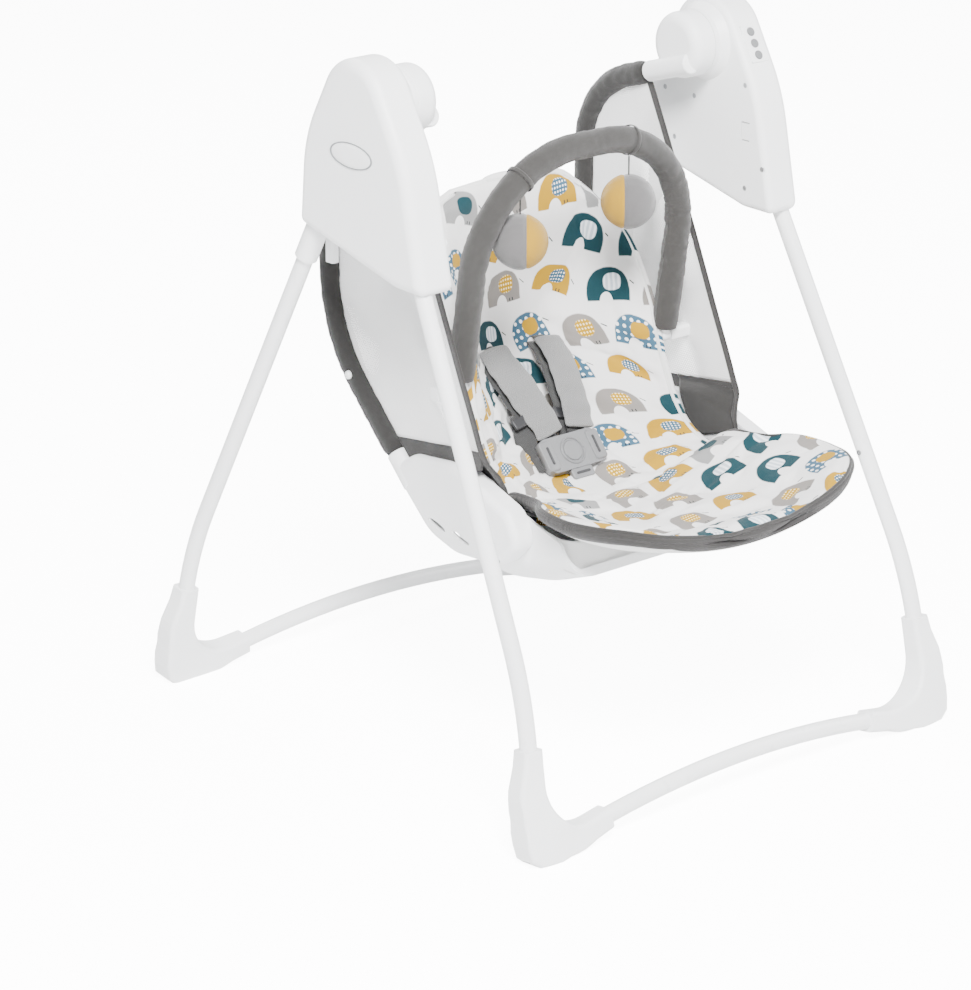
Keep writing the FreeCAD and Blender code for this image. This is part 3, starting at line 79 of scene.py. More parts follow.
def rounded_path(points, radii, step):
    """Points along straight runs joined by arcs."""
    out = [points[0].copy()]

    def line_to(end):
        start = out[-1]
        count = max(1, round((end - start).length / step))
        out.extend(start.lerp(end, n / count) for n in range(1, count + 1))

    for before, corner, after, radius in zip(points, points[1:], points[2:], radii):
        into = (corner - before).normalized()
        leave = (after - corner).normalized()
        half = into.angle(leave) / 2
        start = corner - into * radius * math.tan(half)
        line_to(start)
        centre = corner + (leave - into).normalized() * radius / math.cos(half)
        arm = start - centre
        axis = into.cross(leave).normalized()
        count = max(2, round(2 * half * radius / step))
        for n in range(1, count + 1):
            out.append(centre + Matrix.Rotation(2 * half * n / count, 3, axis) @ arm)
    line_to(points[-1])
    return out


def fbm(point, scale, depth=3):
    return noise.fractal(Vector(point) * scale, 1.0, 2.0, depth)


# ------------------------------------------------------------------ materials


class Graph:
    """A short way to write shader maths."""

    def __init__(self, name):
        self.mat = bpy.data.materials.new(name)
        self.mat.use_nodes = True
        self.tree = self.mat.node_tree
        self.shader = self.tree.nodes["Principled BSDF"]

    def link(self, a, b):
        self.tree.links.new(a, b)

    def math(self, op, a, b=None, c=None):
        n = self.tree.nodes.new("ShaderNodeMath")
        n.operation = op
        for socket, value in zip(n.inputs, (a, b, c)):
            if value is None:
                continue
            if isinstance(value, (int, float)):
                socket.default_value = value
            else:
                self.link(value, socket)
        return n.outputs[0]

    def mix(self, fac, a, b):
        n = self.tree.nodes.new("ShaderNodeMix")
        n.data_type = "RGBA"
        for socket, value in zip((n.inputs[0], n.inputs[6], n.inputs[7]), (fac, a, b)):
            if isinstance(value, (int, float)):
                socket.default_value = value
            elif isinstance(value, tuple):
                socket.default_value = (*value, 1.0)
            else:
                self.link(value, socket)
        return n.outputs[2]

    def coords(self):
        n = self.tree.nodes.new("ShaderNodeTexCoord")
        return n.outputs["Object"]

    def noise(self, vector, scale, detail=2.0):
        n = self.tree.nodes.new("ShaderNodeTexNoise")
        n.inputs["Scale"].default_value = scale
        n.inputs["Detail"].default_value = detail
        self.link(vector, n.inputs["Vector"])
        return n.outputs["Fac"]

    def bump(self, height, distance):
        n = self.tree.nodes.new("ShaderNodeBump")
        n.inputs["Distance"].default_value = distance
        n.inputs["Strength"].default_value = 1.0
        self.link(height, n.inputs["Height"])
        return n.outputs[0]

    def finish(self, colour, normal=None, **values):
        if isinstance(colour, tuple):
            self.shader.inputs["Base Color"].default_value = (*colour, 1.0)
        else:
            self.link(colour, self.shader.inputs["Base Color"])
        if normal is not None:
            self.link(normal, self.shader.inputs["Normal"])
        for key, value in values.items():
            socket = self.shader.inputs[key.replace("_", " ")]
            if isinstance(value, (int, float, tuple)):
                socket.default_value = value
            else:
                self.link(value, socket)
        return self.mat


def plastic(name, colour, rough=0.42, grain=0.05, spot=0.03, metal=0.0, coat=0.0):
    """Moulded or coated surface: fine texture, faint colour variation, slight wear in roughness."""
    g = Graph(name)
    where = g.coords()
    cloud = g.noise(where, 9.0, 4.0)
    fine = g.noise(where, 1400.0, 2.0)
    worn = g.noise(where, 55.0, 6.0)
    dark = tuple(c * (1 - spot) for c in colour)
    tint = g.mix(cloud, dark, colour)
    height = g.math("ADD", g.math("MULTIPLY", fine, 0.35), g.math("MULTIPLY", cloud, 0.4))
    shade = g.math("MULTIPLY_ADD", worn, 0.16, rough - 0.08)
    return g.finish(tint, g.bump(height, grain * MM), Roughness=shade, Metallic=metal, Coat_Weight=coat)


def uv_vector(g, scale_u, scale_v):
    n = g.tree.nodes.new("ShaderNodeUVMap")
    m = g.tree.nodes.new("ShaderNodeMapping")
    m.inputs["Scale"].default_value = (scale_u, scale_v, 1.0)
    g.link(n.outputs[0], m.inputs["Vector"])
    s = g.tree.nodes.new("ShaderNodeSeparateXYZ")
    g.link(m.outputs[0], s.inputs[0])
    return s.outputs[0], s.outputs[1]


def weave_height(g, pitch_u, pitch_v):
    """Over-and-under threads, from UVs in metres."""
    u, v = uv_vector(g, math.pi / pitch_u, math.pi / pitch_v)
    return g.math("MULTIPLY", g.math("SINE", u), g.math("SINE", v))


def fabric(name, colour, pitch=0.9, depth=0.12, spread=0.16, sheen=0.25, ribs=None):
    g = Graph(name)
    where = g.coords()
    cloud = g.noise(where, 14.0, 4.0)
    fleck = g.noise(where, 900.0, 2.0)
    pitch_u, pitch_v = ribs or (pitch, pitch)
    woven = weave_height(g, pitch_u * MM, pitch_v * MM)
    dark = tuple(c * (1 - spread) for c in colour)
    light = tuple(min(c * (1 + spread * 0.6), 1.0) for c in colour)
    share = g.math("ADD", g.math("MULTIPLY", cloud, 0.45), g.math("MULTIPLY", fleck, 0.55))
    tint = g.mix(share, dark, light)
    # painted shade: the low points of the weave, between the threads, are darkened towards 0.55 of the colour
    tint = g.mix(g.math("MULTIPLY_ADD", woven, -0.12, 0.12), tint, tuple(c * 0.55 for c in colour))
    height = g.math("ADD", woven, g.math("MULTIPLY", fleck, 0.6))
    return g.finish(
        tint, g.bump(height, depth * MM), Roughness=0.9, Sheen_Weight=sheen, Sheen_Roughness=0.5,
        Specular_IOR_Level=0.25,
    )


TEAL = (0.008, 0.038, 0.048)
MUSTARD = (0.40, 0.225, 0.010)
WARM_GREY = (0.215, 0.198, 0.184)
PALE_GREY = (0.25, 0.25, 0.25)
SLATE = (0.045, 0.105, 0.16)
GROUND = (0.80, 0.79, 0.785)
WHITE = (0.90, 0.905, 0.91)
INK = (0.02, 0.025, 0.03)


def printed_cotton(name):
    """White cotton with an all-over print of small arches, each with a contrasting patch."""
    g = Graph(name)
    cell_u, cell_v = 0.067, 0.054
    u, v = uv_vector(g, 1.0, 1.0)
    m = g.math
    row_at = m("DIVIDE", v, cell_v)
    row = m("FLOOR", row_at)
    col_at = m("ADD", m("DIVIDE", u, cell_u), m("MULTIPLY", row, 0.5))
    col = m("FLOOR", col_at)
    ids = g.tree.nodes.new("ShaderNodeCombineXYZ")
    g.link(col, ids.inputs[0])
    g.link(row, ids.inputs[1])
    ids.inputs[2].default_value = 3.7
    rand = g.tree.nodes.new("ShaderNodeTexWhiteNoise")
    g.link(ids.outputs[0], rand.inputs["Vector"])
    pick = rand.outputs["Value"]
    spread = g.tree.nodes.new("ShaderNodeSeparateColor")
    g.link(rand.outputs["Color"], spread.inputs[0])
    r1, r2, r3 = spread.outputs[0], spread.outputs[1], spread.outputs[2]
    # place inside the cell, in millimetres, shifted and turned a little at random
    x = m("MULTIPLY", m("SUBTRACT", m("FRACT", col_at), 0.5), cell_u * 1000)
    y = m("MULTIPLY", m("SUBTRACT", m("FRACT", row_at), 0.5), cell_v * 1000)
    x = m("ADD", x, m("MULTIPLY_ADD", r1, 9.0, -4.5))
    y = m("ADD", y, m("MULTIPLY_ADD", r3, 7.0, -3.5))
    turn = m("MULTIPLY_ADD", r3, 0.55, -0.28)
    cos, sin = m("COSINE", turn), m("SINE", turn)
    size = m("MULTIPLY_ADD", r2, 0.14, 0.68)
    px = m("MULTIPLY", m("ADD", m("MULTIPLY", x, cos), m("MULTIPLY", y, sin)), size)
    py = m("MULTIPLY", m("SUBTRACT", m("MULTIPLY", y, cos), m("MULTIPLY", x, sin)), size)
    # a little wobble so that the edges look hand-cut
    where = g.coords()
    wobble = m("MULTIPLY_ADD", g.noise(where, 160.0, 2.0), 1.2, -0.6)

    def ellipse(cx, cy, rx, ry, power=2.0):
        dx = m("POWER", m("ABSOLUTE", m("DIVIDE", m("SUBTRACT", px, cx), rx)), power)
        dy = m("POWER", m("ABSOLUTE", m("DIVIDE", m("SUBTRACT", py, cy), ry)), power)
        return m("SUBTRACT", m("POWER", m("ADD", dx, dy), 1.0 / power), 1.0)

    def inside(distance, soft=0.05):
        past = m("DIVIDE", m("ADD", distance, soft / 2), soft)
        return m("SUBTRACT", 1.0, m("SMOOTH_MIN", 1.0, m("MAXIMUM", past, 0.0), 0.0))

    rough_edge = m("MULTIPLY", wobble, 0.03)
    dome = m("ADD", ellipse(0.0, -8.0, 18.5, 22.0, 2.3), rough_edge)
    floor_cut = m("DIVIDE", m("SUBTRACT", m("MULTIPLY", py, -1.0), 13.5), 18.0)
    notch = m("MULTIPLY", ellipse(-2.0, -15.0, 6.0, 9.0), -1.0)
    body = inside(m("MAXIMUM", m("MAXIMUM", dome, floor_cut), notch))
    patch = inside(m("ADD", ellipse(3.5, 2.0, 7.6, 7.0, 2.6), rough_edge), 0.1)
    # dots on a small grid, used on the blue bodies and inside some patches
    gx = m("SUBTRACT", m("FRACT", m("DIVIDE", px, 6.2)), 0.5)
    gy = m("SUBTRACT", m("FRACT", m("DIVIDE", py, 6.2)), 0.5)
    big_dots = m("LESS_THAN", m("SQRT", m("ADD", m("MULTIPLY", gx, gx), m("MULTIPLY", gy, gy))), 0.26)
    hx = m("SUBTRACT", m("FRACT", m("DIVIDE", px, 2.7)), 0.5)
    hy = m("SUBTRACT", m("FRACT", m("DIVIDE", py, 3.4)), 0.5)
    seeds = m("LESS_THAN", m("SQRT", m("ADD", m("MULTIPLY", hx, hx), m("MULTIPLY", hy, hy))), 0.27)
    bars = m("GREATER_THAN", m("SINE", m("MULTIPLY", px, 1.5)), 0.1)

    def is_style(n):
        return m("MULTIPLY", m("GREATER_THAN", pick, n / 5), m("LESS_THAN", pick, (n + 1) / 5 + 1e-6))

    body_colour = g.mix(is_style(1), TEAL, MUSTARD)
    body_colour = g.mix(is_style(2), body_colour, WARM_GREY)
    body_colour = g.mix(is_style(3), body_colour, SLATE)
    body_colour = g.mix(m("MULTIPLY", is_style(3), big_dots), body_colour, GROUND)
    body_colour = g.mix(is_style(4), body_colour, PALE_GREY)
    pale_blue = g.mix(bars, (0.50, 0.56, 0.62), (0.78, 0.82, 0.86))
    blue_seed = g.mix(seeds, SLATE, GROUND)
    gold_seed = g.mix(seeds, MUSTARD, (0.88, 0.74, 0.42))
    patch_colour = g.mix(is_style(1), pale_blue, blue_seed)
    patch_colour = g.mix(is_style(2), patch_colour, gold_seed)
    patch_colour = g.mix(is_style(3), patch_colour, MUSTARD)
    patch_colour = g.mix(is_style(4), patch_colour, TEAL)
    # a short dark stroke at one side and two tiny ones under the arch

    def apart(a, b):
        return m("ABSOLUTE", m("SUBTRACT", a, b))

    from_slant = apart(py, m("MULTIPLY_ADD", px, -0.7, 16.0))
    tick = m("MAXIMUM", m("SUBTRACT", from_slant, 0.55), m("SUBTRACT", apart(px, 20.5), 2.2))
    tick = m("LESS_THAN", tick, 0.0)
    from_toe = apart(apart(px, 8.5), 1.4)
    toe = m("MAXIMUM", m("SUBTRACT", from_toe, 0.45), m("SUBTRACT", apart(py, -11.6), 1.5))
    toe = m("MULTIPLY", m("LESS_THAN", toe, 0.0), m("GREATER_THAN", pick, 0.2))
    cloud = g.noise(where, 10.0, 4.0)
    cloth = g.mix(cloud, tuple(c * 0.955 for c in GROUND), GROUND)
    fleck = g.noise(where, 700.0, 2.0)
    cloth = g.mix(m("MULTIPLY", fleck, 0.10), cloth, (0.93, 0.93, 0.92))
    colour = g.mix(body, cloth, body_colour)
    colour = g.mix(m("MULTIPLY", body, patch), colour, patch_colour)
    colour = g.mix(m("MAXIMUM", tick, toe), colour, INK)
    woven = weave_height(g, 0.55 * MM, 0.55 * MM)
    height = m("ADD", woven, m("MULTIPLY", fleck, 0.8))
    return g.finish(
        colour, g.bump(height, 0.07 * MM), Roughness=0.88, Sheen_Weight=0.08, Sheen_Roughness=0.5,
        Specular_IOR_Level=0.15,
    )


def open_mesh(name, colour, hole=0.31, pitch=(3.0, 2.6)):
    """Warp-knit mesh: staggered round holes cut by alpha."""
    g = Graph(name)
    m = g.math
    u, v = uv_vector(g, 1000.0 / pitch[0], 1000.0 / pitch[1])
    row = m("FLOOR", v)
    gx = m("SUBTRACT", m("FRACT", m("MULTIPLY_ADD", row, 0.5, u)), 0.5)
    gy = m("SUBTRACT", m("FRACT", v), 0.5)
    away = m("SQRT", m("ADD", m("MULTIPLY", gx, gx), m("MULTIPLY", gy, gy)))
    where = g.coords()
    fold = g.noise(where, 7.0, 1.0)
    band = m("MINIMUM", m("MAXIMUM", m("MULTIPLY_ADD", fold, 7.0, -3.1), 0.12), 1.0)
    solid = m("GREATER_THAN", away, m("MULTIPLY", band, hole))
    cloud = g.noise(where, 12.0, 3.0)
    tint = g.mix(cloud, tuple(c * 0.9 for c in colour), colour)
    height = m("MINIMUM", away, 0.5)
    return g.finish(
        tint, g.bump(height, 0.5 * MM), Roughness=0.85, Sheen_Weight=0.2, Alpha=solid,
        Specular_IOR_Level=0.25,
    )


MATS = {
    "white_steel": plastic("powder_coat", WHITE, 0.30, 0.03, 0.02, coat=0.25),
    "white_plastic": plastic("white_moulding", WHITE, 0.45, 0.035, 0.02),
    "grey_plastic": plastic("grey_moulding", (0.15, 0.154, 0.158), 0.42),
    "buckle_grey": plastic("buckle_moulding", (0.165, 0.167, 0.172), 0.40, 0.04),
    "bright_steel": plastic("zinc", (0.55, 0.56, 0.58), 0.35, 0.03, 0.12, metal=1.0),
    "nylon": plastic("nylon", (0.80, 0.79, 0.74), 0.38),
    "cell_wrap": plastic("cell_wrap", (0.06, 0.065, 0.07), 0.30),
    "board_green": plastic("solder_mask", (0.02, 0.11, 0.05), 0.35),
    "printed_fabric": printed_cotton("printed_cotton"),
    "white_mesh": open_mesh("side_mesh", (0.90, 0.90, 0.90)),
    "charcoal_fabric": fabric("charcoal_cloth", (0.025, 0.024, 0.023)),
    "grey_fabric": fabric("grey_cloth", (0.043, 0.041, 0.039), 0.8),
    "grey_webbing": fabric("webbing", (0.045, 0.045, 0.045), 1.0, 0.3, ribs=(1.6, 1.0)),
    "woven_pad": fabric("strap_cloth", (0.215, 0.215, 0.215), 1.5, 0.4),
    "toy_velour": fabric("toy_grey", (0.125, 0.12, 0.12), 0.5, 0.1, sheen=0.5),
}
PIPING = fabric("grey_binding", (0.034, 0.032, 0.031), 0.7)
TOY_GOLD = fabric("toy_gold", (0.40, 0.225, 0.010), 0.5, 0.1, sheen=0.2)
WHITE_CLOTH = fabric("white_cloth", (0.80, 0.80, 0.79), 0.6, 0.08, 0.05)
BLACK = plastic("black_slider", (0.02, 0.02, 0.022), 0.4)
BADGE_LINE = plastic("badge_ink", (0.20, 0.21, 0.22), 0.4)

for row in frame["record"]["subparts"]:
    part = NODES[row["node"]]
    part.data.materials.clear()
    part.data.materials.append(MATS[row["material_slot"]])

# ------------------------------------------------------------------ mesh helpers


def make(name, verts, faces, materials, uvs=None, face_mats=None):
    mesh = bpy.data.meshes.new(name)
    mesh.from_pydata([tuple(v) for v in verts], [], faces)
    for mat in materials:
        mesh.materials.append(mat)
    if face_mats is not None:
        mesh.polygons.foreach_set("material_index", face_mats)
    mesh.polygons.foreach_set("use_smooth", [True] * len(mesh.polygons))
    if uvs is not None:
        layer = mesh.uv_layers.new(name="cut")
        for loop in mesh.loops:
            layer.data[loop.index].uv = uvs[loop.vertex_index]
    mesh.validate()
    mesh.update()
    obj = bpy.data.objects.new(name, mesh)
    bpy.context.scene.collection.objects.link(obj)
    return obj


def outward(obj):
    """Face normals point out of the closed mesh."""
    bm = bmesh.new()
    bm.from_mesh(obj.data)
    bmesh.ops.recalc_face_normals(bm, faces=bm.faces)
    bm.to_mesh(obj.data)
    bm.free()
    return obj


def subdivide(obj):
    mod = obj.modifiers.new("smooth", "SUBSURF")
    mod.levels = 1
    mod.render_levels = 1


def grid_faces(rows, cols):
    """Quads of a grid whose points are stored row by row, cols + 1 to a row."""
    faces = []
    for i in range(rows):
        for j in range(cols):
            k = i * (cols + 1) + j
            faces.append((k, k + 1, k + cols + 2, k + cols + 1))
    return faces


def on_seat(obj):
    """A piece that moves with the seat."""
    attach(obj, "seat")


def cloth(name, verts, uvs, size, mat, slot_name, thickness=0.9, offset=0.0):
    """A sheet of cloth on the seat, from a grid of points, and its area before it gets its thickness."""
    obj = make(name, verts, grid_faces(*size), [mat], uvs)
    area = sum(poly.area for poly in obj.data.polygons)
    solid = obj.modifiers.new("thickness", "SOLIDIFY")
    solid.thickness = thickness * MM
    solid.offset = offset
    on_seat(obj)
    return obj, area


def tangent(path, i):
    return (path[min(i + 1, len(path) - 1)] - path[max(i - 1, 0)]).normalized()


def face_up(path, i):
    """The upward side of a strap that runs front to back."""
    n = X_AXIS.cross(tangent(path, i)).normalized()
    return n if n.z >= 0 else -n


def frames_along(path):
    """Tangent, and two directions across it, carried along the path without twisting."""
    out = []
    side = None
    for i, p in enumerate(path):
        t = tangent(path, i)
        if side is None:
            side = t.cross(Vector((0, 0, 1)) if abs(t.z) < 0.9 else Vector((0, 1, 0))).normalized()
        side = (side - t * side.dot(t)).normalized()
        out.append((p, side, t.cross(side)))
    return out


def tube(name, path, radius, mats, segments=32):
    """Closed skin round a path. radius(share along, angle) gives the distance from the path."""
    verts, uvs, faces = [], [], []
    run = 0.0
    ring = frames_along(path)
    for i, (p, a, b) in enumerate(ring):
        if i:
            run += (path[i] - path[i - 1]).length
        for j in range(segments):
            angle = 2 * math.pi * j / segments
            r = radius(i / (len(path) - 1), angle)
            verts.append(p + a * math.cos(angle) * r + b * math.sin(angle) * r)
            uvs.append((angle * r, run))
    for i in range(len(path) - 1):
        for j in range(segments):
            k = (j + 1) % segments
            faces.append((i * segments + j, i * segments + k, (i + 1) * segments + k, (i + 1) * segments + j))
    for i, order in ((0, -1), (len(path) - 1, 1)):
        loop = [i * segments + j for j in range(segments)]
        verts.append(path[i].copy())
        uvs.append((0, 0))
        centre = len(verts) - 1
        for j in range(segments):
            k = (j + 1) % segments
            faces.append((loop[k], loop[j], centre) if order < 0 else (loop[j], loop[k], centre))
    return outward(make(name, verts, faces, mats, uvs))


def ribbon(name, path, normals, width, thickness, mats, crown=0.0, across=8):
    """A flat strap of real thickness along a path; normals point out of its face."""
    verts, uvs, faces = [], [], []
    run = 0.0
    count = across * 2 + 2
    for i, (p, n) in enumerate(zip(path, normals)):
        t = tangent(path, i)
        side = t.cross(n).normalized()
        out = side.cross(t).normalized()
        if i:
            run += (path[i] - path[i - 1]).length
        w = width(i / (len(path) - 1)) if callable(width) else width
        loop = []
        for j in range(across + 1):
            s = j / across * 2 - 1
            lift = thickness / 2 * (1 - abs(s) ** 6 * 0.5) + crown * (1 - s * s)
            loop.append((s, lift))
        for j in range(across, -1, -1):
            s = j / across * 2 - 1
            loop.append((s, -thickness / 2 * (1 - abs(s) ** 6 * 0.5)))
        for s, lift in loop:
            verts.append(p + side * s * w / 2 + out * lift)
            uvs.append((s * w / 2, run))
    for i in range(len(path) - 1):
        for j in range(count):
            k = (j + 1) % count
            faces.append((i * count + j, i * count + k, (i + 1) * count + k, (i + 1) * count + j))
    faces.append(tuple(range(count)))
    faces.append(tuple(range((len(path) - 1) * count, len(path) * count)))
    return outward(make(name, verts, faces, mats, uvs))


# ------------------------------------------------------------------ the printed seat and back


class Padding:
    """A padded piece given by rows of (y, z) on the middle, (y, z) at the edge, and half width."""

    def __init__(self, points, thickness, crown, power=2.2):
        self.rows = []
        run = 0.0
        for i, row in enumerate(points):
            if i:
                run += math.hypot(row[0] - points[i - 1][0], row[1] - points[i - 1][1])
            self.rows.append((run, *row))
        self.length = run
        self.thickness = thickness * MM
        self.crown = crown * MM
        self.power = power

    def spine(self, s):
        y, z, edge_y, edge_z, w = spline_table(self.rows, s * self.length)
        return Vector((0, y, z)) * MM, Vector((0, edge_y, edge_z)) * MM, w * MM

    def bare(self, s, t):
        middle, edge, w = self.spine(s)
        return middle + X_AXIS * w * t + (edge - middle) * abs(t) ** self.power

    def surface(self, s, t, lift=0.0):
        """A point on the sitting surface; lift is how far above it."""
        e = 0.006
        s0, s1 = max(s - e, 0.0), min(s + e, 1.0)
        t0, t1 = max(t - e, -1.0), min(t + e, 1.0)
        down = self.bare(s1, t) - self.bare(s0, t)
        across = self.bare(s, t1) - self.bare(s, t0)
        out = down.cross(across).normalized()
        return self.bare(s, t) + out * lift


BACK = Padding([
    (79, 611, 79, 611, 24),
    (79, 607, 76, 606, 72),
    (80, 593, 72, 591, 103),
    (82, 572, 58, 569, 124),
    (87, 530, 24, 526, 141),
    (92, 465, -14, 463, 142),
    (86, 432, -29, 432, 138),
    (73, 404, -37, 404, 139),
    (52, 377, -46, 380, 140),
    (28, 354, -56, 360, 140),
    (2, 332, -68, 342, 141),
    (-25, 309, -80, 328, 143),
    (-55, 290, -97, 316, 147),
    (-90, 283, -116, 310, 153),
    (-112, 281, -130, 311, 157),
    (-128, 273, -140, 306, 158),
], 18, 5)

SEAT = Padding([
    (-102, 276, -110, 312, 158),
    (-118, 283, -123, 323, 162),
    (-133, 285, -136, 329, 165),
    (-165, 284, -165, 332, 167),
    (-186, 284, -185, 334, 172),
    (-203, 284, -201, 336, 186),
    (-220, 284, -218, 337, 193),
    (-242, 285, -240, 337, 196),
    (-265, 287, -262, 337, 195),
    (-298, 295, -294, 338, 186),
    (-323, 302, -319, 336, 165),
    (-337, 307, -335, 329, 135),
    (-345, 310, -344, 320, 90),
    (-348, 311, -348, 313, 44),
], 15, 4, 2.0)


def across_length(pad, s, t):
    """How far the cloth runs from the middle of the pad to its place t, along the surface."""
    count = 12
    total = 0.0
    before = pad.bare(s, 0.0)
    for n in range(1, count + 1):
        here = pad.bare(s, t * n / count)
        total += (here - before).length
        before = here
    return math.copysign(total, t)


def padding_mesh(name, pad, mats, rows=100, cols=84, rim_mat=0, under_mat=0, wrinkle=None, bulge=0.5):
    """Closed cushion: sitting surface, rounded rim and underside. mats[0] is the print."""
    verts, uvs, faces, picks = [], [], [], []

    def grid_point(i, j, top):
        s, t = i / rows, j / cols * 2 - 1
        edge_t = 1 - abs(t) ** 8
        edge_s = min(1.0, (i + 0.2) / 5.0, (rows - i + 0.2) / 5.0)
        fill = math.sqrt(max(edge_t, 0.0) * edge_s)
        if top:
            lift = pad.crown * fill
            if wrinkle:
                lift += wrinkle(s, t) * fill
            return pad.surface(s, t, lift)
        return pad.surface(s, t, -pad.thickness * (0.55 + 0.45 * fill))

    for top in (True, False):
        for i in range(rows + 1):
            for j in range(cols + 1):
                s, t = i / rows, j / cols * 2 - 1
                verts.append(grid_point(i, j, top))
                uvs.append((across_length(pad, s, t), -s * pad.length * MM))
    half = (rows + 1) * (cols + 1)

    def at(i, j, top):
        return (0 if top else half) + i * (cols + 1) + j

    for top in (True, False):
        for i in range(rows):
            for j in range(cols):
                f = (at(i, j, top), at(i, j + 1, top), at(i + 1, j + 1, top), at(i + 1, j, top))
                faces.append(f)
                bound = min(j, cols - 1 - j) < 3 or i > rows - 5
                picks.append(0 if top else rim_mat if bound else under_mat)
    rim = [(0, j) for j in range(cols)] + [(i, cols) for i in range(rows)]
    rim += [(rows, j) for j in range(cols, 0, -1)] + [(i, 0) for i in range(rows, 0, -1)]
    centre = Vector((0, 0, 0))
    for i, j in rim:
        centre += verts[at(i, j, True)] / len(rim)
    bands = 4
    start = len(verts)
    for n, (i, j) in enumerate(rim):
        a, b = verts[at(i, j, True)], verts[at(i, j, False)]
        before, after = rim[n - 1], rim[(n + 1) % len(rim)]
        along = (verts[at(*after, True)] - verts[at(*before, True)]).normalized()
        out = along.cross(a - b).normalized()
        if out.dot(a - centre) < 0:
            out = -out
        for k in range(1, bands):
            share = k / bands
            p = a.lerp(b, share) + out * math.sin(share * math.pi) * (a - b).length * bulge
            verts.append(p)
            uvs.append((uvs[at(i, j, True)][0], uvs[at(i, j, True)][1] + share * 0.01))
    for n in range(len(rim)):
        m = (n + 1) % len(rim)
        here, there = (
            [at(*rim[q], True), *(start + q * (bands - 1) + k for k in range(bands - 1)), at(*rim[q], False)]
            for q in (n, m)
        )
        for k in range(bands):
            faces.append((here[k], here[k + 1], there[k + 1], there[k]))
            picks.append(rim_mat)
    obj = outward(make(name, verts, faces, mats, uvs, picks))
    rim_line = [verts[at(i, j, True)] for i, j in rim]
    free = {at(i, j, True) for i in range(1, rows) for j in range(1, cols)}
    held = [n for n in range(len(verts)) if n not in free]
    return obj, rim_line, held


def back_wrinkle(s, t):
    p = BACK.bare(s, t)
    soft = fbm((p.x, p.y, p.z), 9.0, 3) * 2.4 * MM
    # pulled folds running along the edges, and soft ones across the hollow
    side = fbm((p.x * 3.0, p.y * 0.6, p.z * 0.5 + 4.0), 26.0, 2) * 2.2 * MM * smoothstep(0.55, 0.95, abs(t))
    crease = fbm((p.x * 0.5, p.y * 2.2, p.z * 2.2), 20.0, 2) * 2.4 * MM * smoothstep(0.55, 0.8, s)
    groove = -2.0 * MM * math.exp(-((abs(t) - 0.84) / 0.03) ** 2) * smoothstep(0.08, 0.2, s)
    return soft + crease + side + groove


def seat_wrinkle(s, t):
    p = SEAT.bare(s, t)
    soft = fbm((p.x, p.y, 4.0), 10.0, 3) * 2.6 * MM
    crease = fbm((p.x * 0.7, p.y * 2.4, 7.0), 26.0, 2) * 2.2 * MM * (1 - smoothstep(0.1, 0.6, s))
    front = fbm((p.x * 2.6, p.y * 0.7, 2.0), 24.0, 2) * 2.0 * MM * smoothstep(0.7, 0.95, s)
    return soft + crease + front


def fill_with_air(obj, held, pressure, spare, cap, frames=20):
    """Cloth simulation of a stuffed cover with its seam held; spare is the extra cloth in it."""
    before = [v.co.copy() for v in obj.data.vertices]
    group = obj.vertex_groups.new(name="held")
    for weight, indices in held:
        group.add(indices, weight, "REPLACE")
    mod = obj.modifiers.new("cloth", "CLOTH")
    setup = mod.settings
    setup.vertex_group_mass = "held"
    setup.use_pressure = True
    setup.uniform_pressure_force = pressure
    setup.effector_weights.gravity = 0.0
    setup.shrink_min = -spare
    setup.quality = 6
    setup.mass = 0.25
    setup.bending_stiffness = 0.35
    setup.tension_stiffness = 18.0
    setup.compression_stiffness = 12.0
    mod.point_cache.frame_start = 1
    mod.point_cache.frame_end = frames
    scene = bpy.context.scene
    for number in range(1, frames + 1):
        scene.frame_set(number)
    shape = obj.evaluated_get(bpy.context.evaluated_depsgraph_get())
    after = [v.co.copy() for v in shape.data.vertices]
    obj.modifiers.remove(mod)
    obj.vertex_groups.remove(group)
    for vertex, a, b in zip(obj.data.vertices, before, after):
        move = b - a
        if move.length > cap * MM:
            move *= cap * MM / move.length
        vertex.co = a + move
    scene.frame_set(1)
    obj.data.update()


PRINT = MATS["printed_fabric"]
back_piece, back_rim, back_held = padding_mesh(
    "back_cushion", BACK, [PRINT, WHITE_CLOTH], wrinkle=back_wrinkle, under_mat=1,
)
seat_piece, seat_rim, seat_held = padding_mesh(
    "seat_cushion", SEAT, [PRINT, PIPING, WHITE_CLOTH], rim_mat=1, under_mat=2, wrinkle=seat_wrinkle,
    bulge=0.35,
)
fill_with_air(back_piece, [(1.0, back_held)], pressure=2.5, spare=0.03, cap=8)
fill_with_air(seat_piece, [(1.0, seat_held)], pressure=2.5, spare=0.03, cap=7)
for piece, cad in ((back_piece, "back_pad"), (seat_piece, "seat_pad")):
    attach(piece, "seat")
    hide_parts(cad)


def piping(name, line, radius, mat):
    """A sewn cord along a cushion's rim."""
    keep = [line[0]]
    for p in line[1:]:
        if (p - keep[-1]).length > 3.0 * MM:
            keep.append(p)
    on_seat(tube(name, keep, lambda share, angle: radius, [mat], 10))


piping("back_piping", back_rim, 2.0 * MM, WHITE_CLOTH)
piping("seat_piping", seat_rim[84:], 2.3 * MM, PIPING)

# ------------------------------------------------------------------ hanger sleeves and side panels


def hanger_line(start, end_y):
    """The hanger tube's centre line in mm, in side view, as in the CAD."""
    slope = math.radians(17)
    ahead = Vector((0, math.cos(slope), -math.sin(slope)))
    origin = Vector((0, 0, 725))
    elbow = origin + ahead * (151 / ahead.y)
    low = Vector((0, 151, 525 - 175 * math.tan(math.radians(22.5))))
    end = low + Vector((0, -1, -1)) * (151 - end_y)
    return [origin + ahead * start, elbow, low, end]


